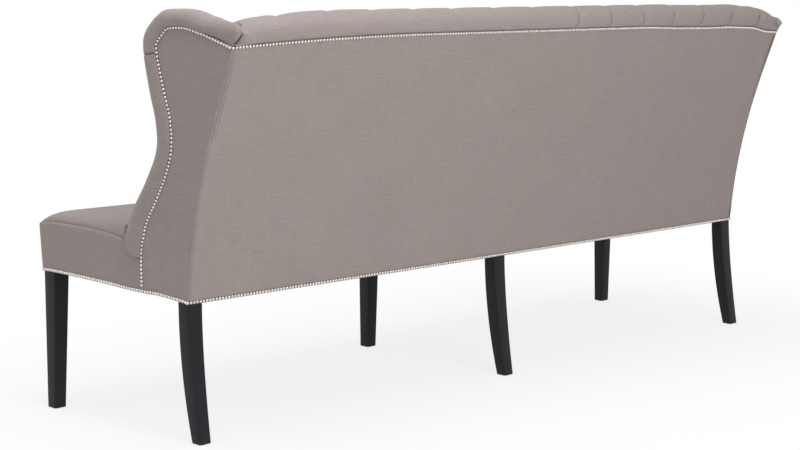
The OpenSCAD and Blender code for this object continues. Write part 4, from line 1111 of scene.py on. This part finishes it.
def add_roll_ring(xs, depth, free, right):
    """Adds a section whose fold is held down by its nail and opens out over the crest."""
    depths = [pleat_depth * depth * (0.55 + 0.45 * min(1, (t + 14) / 20)) * smooth(t, right)
              for t in roll_turns]
    roll_rings.append(roll_ring(xs, depths))
    roll_free.extend([free if 4 < t < 184 else 0.0 for t in roll_turns] + [0.0] * 4)
    # Painted shade: on the left half the linen is darkened deep in each fold, and under the noses
    # of the wings.
    in_fold_shade = 0.0 if right else max(0.0, depth - 0.5) * 2
    for t, (x, y, z) in zip(roll_turns, roll_rings[-1]):
        roll_fold_shade.append(max(crease(x, z), in_fold_shade) if t < 120 else 0.0)
    roll_fold_shade.extend([0.0] * 4)


def add_roll_end(side, shares, starts, run):
    """The last stretch of the roll, from its end pleat out to the corner."""
    for share in shares:
        add_roll_ring([x + (side * roll_end_x - x) * share for x in starts],
                      max(0, 1 - share / run) ** 2, 0.0 if share > 0.5 else min(1, share / 0.1),
                      side > 0)


pleat_lines = [[pleat_shift(home, places, t) for t in roll_turns] for home, places in pleats]
add_roll_end(-1, reversed(end_shares), pleat_lines[0], 0.34)
for k, (starts, stops) in enumerate(zip(pleat_lines, pleat_lines[1:])):
    home, next_home = pleats[k][0], pleats[k + 1][0]
    for share, lap, depth in bay:
        right = (home if share < 0.5 else next_home) > 0
        add_roll_ring([x + (z - x) * share + lap * smooth(t, right)
                       for x, z, t in zip(starts, stops, roll_turns)], depth,
                      max(0, min(1, (share - 0.03) / 0.05, (0.97 - share) / 0.05)), right)
add_roll_ring(pleat_lines[-1], 1, 0.0, True)
add_roll_end(1, end_shares, pleat_lines[-1], 0.10)
back_roll = skin("top_roll_linen", roll_rings)
paint_fold_shade(back_roll, roll_fold_shade)
stuff(back_roll, roll_free, snug)
fit(back_roll, "top_roll", taupe_linen)


# Outside linen: the back, the two wings, the ends and the front of the seat, each pulled tight
# over wadding and turned under at its edges; the back turns both rear corners softly.
cloth_t, tip_weld, turn_r, seat_turn_r = 0.0018, 0.00001, 0.010, 0.006
back_lift, wing_lift, end_lift, front_lift = 0.0016, 0.0012, 0.0010, 0.0008
back_turn, wing_turn, seat_turn = 0.0026, 0.0022, 0.0020
back_tuck, end_tuck, front_tuck, ridge_in, ridge_w, ridge_h = (
    0.0028, 0.0024, 0.0052, 0.0115, 0.0022, 0.0006)


def weld(piece, near):
    """Merges points that lie together, as where a panel runs out to a tip; drops spare ones."""
    spare = bmesh.new()
    spare.from_mesh(piece.data)
    bmesh.ops.delete(spare, geom=[v for v in spare.verts if not v.link_faces], context="VERTS")
    bmesh.ops.remove_doubles(spare, verts=spare.verts, dist=near)
    spare.to_mesh(piece.data)
    spare.free()


def cloth_panel(name, lines, node):
    """A stretched panel of linen from lines of points, seen from outside with x to the right."""
    m, n = len(lines), len(lines[0])
    piece = new_piece(name, row_after_row(lines),
                      [(i * n + j, i * n + j + 1, (i + 1) * n + j + 1, (i + 1) * n + j)
                       for i in range(m - 1) for j in range(n - 1)], closed=False)
    weld(piece, tip_weld)
    body = piece.modifiers.new("body", "SOLIDIFY")
    body.thickness, body.offset = cloth_t, -1
    fit(piece, node, taupe_linen)


def pulled(share):
    """How far a panel lifts between its edges, as a share of the most."""
    return 1 - (2 * share - 1) ** 4


back_panel = []
for s in np.linspace(0, 1, 60):
    line = []
    for t in np.linspace(-1, 1, 201):
        nails_z = nail_line_z(-t * corner_half_w)
        low = rear_hem_z(-t * corner_half_w)
        z = low + (nails_z + 0.003 - low) * s
        wide = half_w(back_y(z))
        from_corner = wide * (1 - abs(t))
        turned = max(0, 1 - from_corner / turn_r)
        ridge = math.exp(-((from_corner - ridge_in) / ridge_w) ** 2) \
            * ease((z - 0.72) / 0.08) * ease((0.95 - z) / 0.05)
        y = back_y(z) + back_lift * pulled(s) * pulled((t + 1) / 2) - back_turn * turned ** 2 \
            - ridge_h * ridge - back_tuck * ease((z - nails_z + 0.001) / 0.004)
        line.append((-t * wide, y, z))
    back_panel.append(line)
cloth_panel("linen_outside_back", back_panel, "outside_back_cover")

nailed = [np.array([join_y, hem_z(join_y)]), np.array([join_y, wing_low_z])]
nailed += [in_from_edge(p, face_w(p)) for p in np.linspace(foot_station, last_station, 73)]
nailed = np.array(nailed + [np.array([corner_y, corner_z])])
apex = int(np.argmax(nailed[:, 1]))
rear_line = np.array([(back_y(z), z) for z in np.linspace(edge_rear_z, corner_z, 40)])
right_bound, left_bound = np.vstack([rear_line, nailed[apex:][::-1][1:]]), nailed[:apex + 1]


def bound_spot(bound, share):
    """The spot a share of the way up a boundary that only rises."""
    z = bound[0][1] + (bound[-1][1] - bound[0][1]) * share
    return float(np.interp(z, bound[:, 1], bound[:, 0])), z


front_out = 0.0030
curl = np.array([foot_ring(math.radians(a))[8][1:] for a in (90, 75, 60, 45, 30, 15)]
                + [wing_edge(p) for p in np.linspace(foot_station, 1.6, 12)])
for side, word in ((1, "right"), (-1, "left")):
    panel = []
    for s in np.linspace(0, 1, 90):
        y_left, z_left = bound_spot(left_bound, s)
        y_right, z_right = bound_spot(right_bound, s)
        line = []
        for t in np.linspace(0, 1, 40):
            y, z = y_left + (y_right - y_left) * t, z_left + (z_right - z_left) * t
            z += (hem_z(y) - z) * max(0, 1 - s / 0.1)
            turned = max(0, 1 - (y_right - y) / turn_r) if z < corner_z - 0.004 else 0
            x = half_w(y) + wing_lift * pulled(s) * pulled(t) - wing_turn * turned ** 2
            line.append(settled(side * x, y, z))
        panel.append(line if side > 0 else line[::-1])
    cloth_panel("linen_outside_wing_" + word, panel, "outside_wing_cover_" + word)
    panel = []
    ys = np.concatenate([np.linspace(front_face_y - 0.0125, front_y + 0.03, 8),
                         np.linspace(front_y + 0.03, join_y, 60)[1:]])
    for s in np.linspace(0, 1, 26):
        line = []
        for y in ys:
            top = seam_at(y) - 0.0005
            if y > step_y - 0.001:
                top = float(np.interp(y, curl[::-1, 0][::-1], curl[::-1, 1][::-1])) \
                    if y < -0.022 else wing_low_z + 0.016
                top = min(seam_at(step_y) - 0.0005, top + 0.006)
            z = hem_z(y) + (top - hem_z(y)) * s
            y_here = max(y, front_at(z) - front_out)
            turned = max(0, 1 - (y_here - front_at(z) + front_out) / seat_turn_r)
            x = half_w(y_here) + end_lift * pulled(s) * pulled((y - ys[0]) / (ys[-1] - ys[0])) \
                - seat_turn * turned ** 2 - end_tuck * max(0, (s - 0.94) / 0.06) ** 2
            line.append((side * x, y_here, z))
        panel.append(line if side > 0 else line[::-1])
    cloth_panel("linen_seat_end_" + word, panel, "seat_end_cover_" + word)
panel = []
for s in np.linspace(0, 1, 26):
    line = []
    for t in np.linspace(-1, 1, 201):
        top = seam_z - 0.001 - 0.008 * max(0, 1 - (1 - abs(t)) / 0.045) ** 2
        z = hem_z(front_face_y) + (top - hem_z(front_face_y)) * s
        y = front_at(min(z, front_top_z - front_round))
        if z > front_top_z - front_round:
            up = (z - front_top_z) / front_round + 1
            y = front_y + front_deep * (1 - math.sqrt(1 - up ** 2))
        wide = half_w(y) - 0.0006
        turned = max(0, 1 - wide * (1 - abs(t)) / seat_turn_r)
        tucked = front_tuck * max(0, (s - 0.90) / 0.10) ** 2
        line.append((t * wide, y - front_out - front_lift * pulled(s) * pulled((t + 1) / 2)
                     + seat_turn * turned ** 2 + tucked, z))
    panel.append(line)
cloth_panel("linen_seat_front", panel, "seat_front_cover")

# Nails: one row of small nickel-plated domes, 9.8 mm apart and close to touching, set by hand
# along the lower edge, up each upright join, round the wings and along the outside back.
nail_pitch, nail_r = 0.0098, 0.0041
nickel = Finish("nickel_plate")
tarnish = nickel.noise(nickel.place(), 160.0, 2.0)
nail_finish = nickel.surface({
    "Base Color": nickel.blend(tarnish, dye("c3bcb7"), dye("e8e3de")), "Metallic": 1.0,
    "Roughness": 0.20 + 0.16 * tarnish})
nail_head = turned_head("nail_head", [(nail_r, 0.0), (nail_r * 0.98, 0.0009),
                                      (nail_r * 0.84, 0.0022), (nail_r * 0.45, 0.0033)], 10)
band, low_band, nail_out = 0.0052, 0.0048, 0.0010


def end_out(side):
    out = np.array([side * 1.0, splay, 0.0])
    return out / np.linalg.norm(out)


def even_line(points, step=0.006):
    """The same line through points an even step apart."""
    points = np.array(points, float)
    far = np.concatenate([[0], np.cumsum(np.linalg.norm(np.diff(points, axis=0), axis=1))])
    at = np.linspace(0, far[-1], max(2, int(far[-1] / step)))
    return np.stack([np.interp(at, far, points[:, k]) for k in range(3)], axis=1)


nail_lines, nail_facing = {}, {}


def nail_row(key, points, facing):
    """Adds a line of nails; facing gives the way out of the cloth at a spot."""
    points = even_line([settled(*p) for p in points] if key.startswith("wing") else points)
    nail_lines.setdefault(key, []).append(points)
    nail_facing.setdefault(key, []).append([facing(p) for p in points])


low_z = edge_rear_z + low_band
low_half = half_w(back_y(low_z))
nail_row("lower", [(x, back_y(low_z) + 0.0012, rear_hem_z(x) + low_band)
                   for x in np.linspace(-low_half, low_half, 60)],
         lambda p: back_out(low_z, 1.0))
front_low_z, front_half = hem_z(front_face_y) + low_band, half_w(front_face_y) - 0.005
nail_row("lower", [(x, front_at(front_low_z) - 0.0004 - front_out, front_low_z)
                   for x in np.linspace(-front_half, front_half, 60)],
         lambda p: np.array([0.0, -1.0, -0.07]))
nail_row("back_top", [(x, back_y(nail_line_z(x) - band) + 0.0008, nail_line_z(x) - band)
                      for x in np.linspace(-corner_half_w + 0.002, corner_half_w - 0.002, 300)],
         lambda p: back_out(p[2], 1.0))
for side, word in ((1, "right"), (-1, "left")):
    nail_row("lower", [(side * (half_w(y) + nail_out), y, hem_z(y) + low_band)
                       for y in np.linspace(front_face_y + 0.004, back_low_y - 0.004, 90)],
             lambda p, side=side: end_out(side))
    wing_line = [np.array([join_y + band, edge_z(join_y) + 0.0155]),
                 np.array([join_y + band, wing_low_z])]
    wing_line += [in_from_edge(p, face_w(p) + band)
                  for p in np.linspace(foot_station, last_station, 90)]
    wing_line += [np.array([corner_y - 0.008, corner_z - band + 0.0015])]
    nail_row("wing_" + word, [(side * (half_w(y) + nail_out), y, z) for y, z in wing_line],
             lambda p, side=side: end_out(side))
for key, node in (("lower", "nail_strip_lower"), ("back_top", "nail_strip_back_top"),
                  ("wing_left", "nail_strip_wing_left"), ("wing_right", "nail_strip_wing_right")):
    fit(studded("nails_" + key, nail_lines[key], nail_facing[key], nail_head, nail_finish,
                nail_pitch), node)
bpy.data.objects.remove(nail_head)

# Stitches: twine-coloured linen thread, sewn down the two lines that hold the turned edge of the
# outside back at each rear corner.
thread = Finish("linen_thread")
twist = thread.noise(thread.place(), 900.0, 1.0)
thread_finish = thread.surface({
    "Base Color": thread.blend(twist, dye("6a615c"), dye("867c76")), "Roughness": 0.8})
stitch_pitch, stitch_low_z = 0.0052, 0.74
stitch = turned_head("stitch", [(0.0002, -0.0019), (0.00042, -0.0011), (0.00046, 0.0),
                                (0.00042, 0.0011), (0.0002, 0.0019)], 6)
for vertex in stitch.data.vertices:
    x, y, z = vertex.co
    vertex.co = (z, -y, x + 0.0002)
stitch_lines, stitch_facing = [], []
for side in (1, -1):
    for back in (0.0075, 0.0150):
        line = even_line([settled(side * (half_w(back_y(z)) - back), back_y(z) + 0.0002, z)
                          for z in np.linspace(stitch_low_z, corner_z - 0.020, 40)])
        stitch_lines.append(line)
        stitch_facing.append([back_out(p[2], 1.0) for p in line])
fit(studded("corner_stitches", stitch_lines, stitch_facing, stitch, thread_finish, stitch_pitch,
            long_way=True))
bpy.data.objects.remove(stitch)

# Dust cover: black woven cambric, stapled under the rails to close the seat and cut round the
# legs. It sags a little between the cross rails.
cambric = Finish("black_cambric")
weave = (cambric.axis(cambric.place(), 0) * 3100).sine() \
    * (cambric.axis(cambric.place(), 1) * 3100).sine()
lint = cambric.noise(cambric.place(), 90.0, 4.0)
cambric_finish = cambric.surface({
    "Base Color": cambric.blend(lint * 0.8 + weave * 0.1, dye("141415"), dye("2b2b2d")),
    "Roughness": 0.92, "Normal": cambric.bump(0.4, 0.0003, weave)})
notch, cambric_in, cambric_rear_in, cambric_half, cut_weld = 0.0233, 0.019, 0.014, 1.13, 0.0001
leg_spots = [(side * x, y) for x, y in ((front_leg_x, front_face_y + front_leg_top / 2),
                                        (rear_leg_x, back_low_y - rear_leg_deep / 2))
             for side in (-1, 0, 1)]
xs = sorted(set(np.linspace(-cambric_half, cambric_half, 160).round(4))
            | {x + k for x, _ in leg_spots for k in (-notch, notch)})
ys = sorted(set(np.linspace(front_face_y + cambric_in, back_low_y - cambric_rear_in, 44).round(4))
            | {y + k for _, y in leg_spots for k in (-notch, notch)})
ys = [y for y in ys if front_face_y + cambric_in - 0.001 < y < back_low_y - cambric_rear_in + 0.001]
points = []
for y in ys:
    for x in xs:
        held = half_w(y, cambric_in)
        sag = 0.003 * abs(math.sin(math.pi * x / mid_post_x)) ** 0.7 \
            * math.sin(math.pi * (y - ys[0]) / (ys[-1] - ys[0])) ** 0.7
        points.append((max(-held, min(held, x)), y, edge_z(y) - 0.0004 - sag))
faces = []
for i in range(len(ys) - 1):
    for j in range(len(xs) - 1):
        x, y = (xs[j] + xs[j + 1]) / 2, (ys[i] + ys[i + 1]) / 2
        if abs(x) < half_w(y, cambric_in) - 0.001 \
                and all(max(abs(x - u), abs(y - v)) > notch for u, v in leg_spots):
            faces.append((i * len(xs) + j, (i + 1) * len(xs) + j,
                          (i + 1) * len(xs) + j + 1, i * len(xs) + j + 1))
dust_sheet = new_piece("dust_sheet", points, faces, closed=False)
weld(dust_sheet, cut_weld)
body = dust_sheet.modifiers.new("body", "SOLIDIFY")
body.thickness, body.offset = 0.0006, 0
fit(dust_sheet, "dust_cover", cambric_finish)
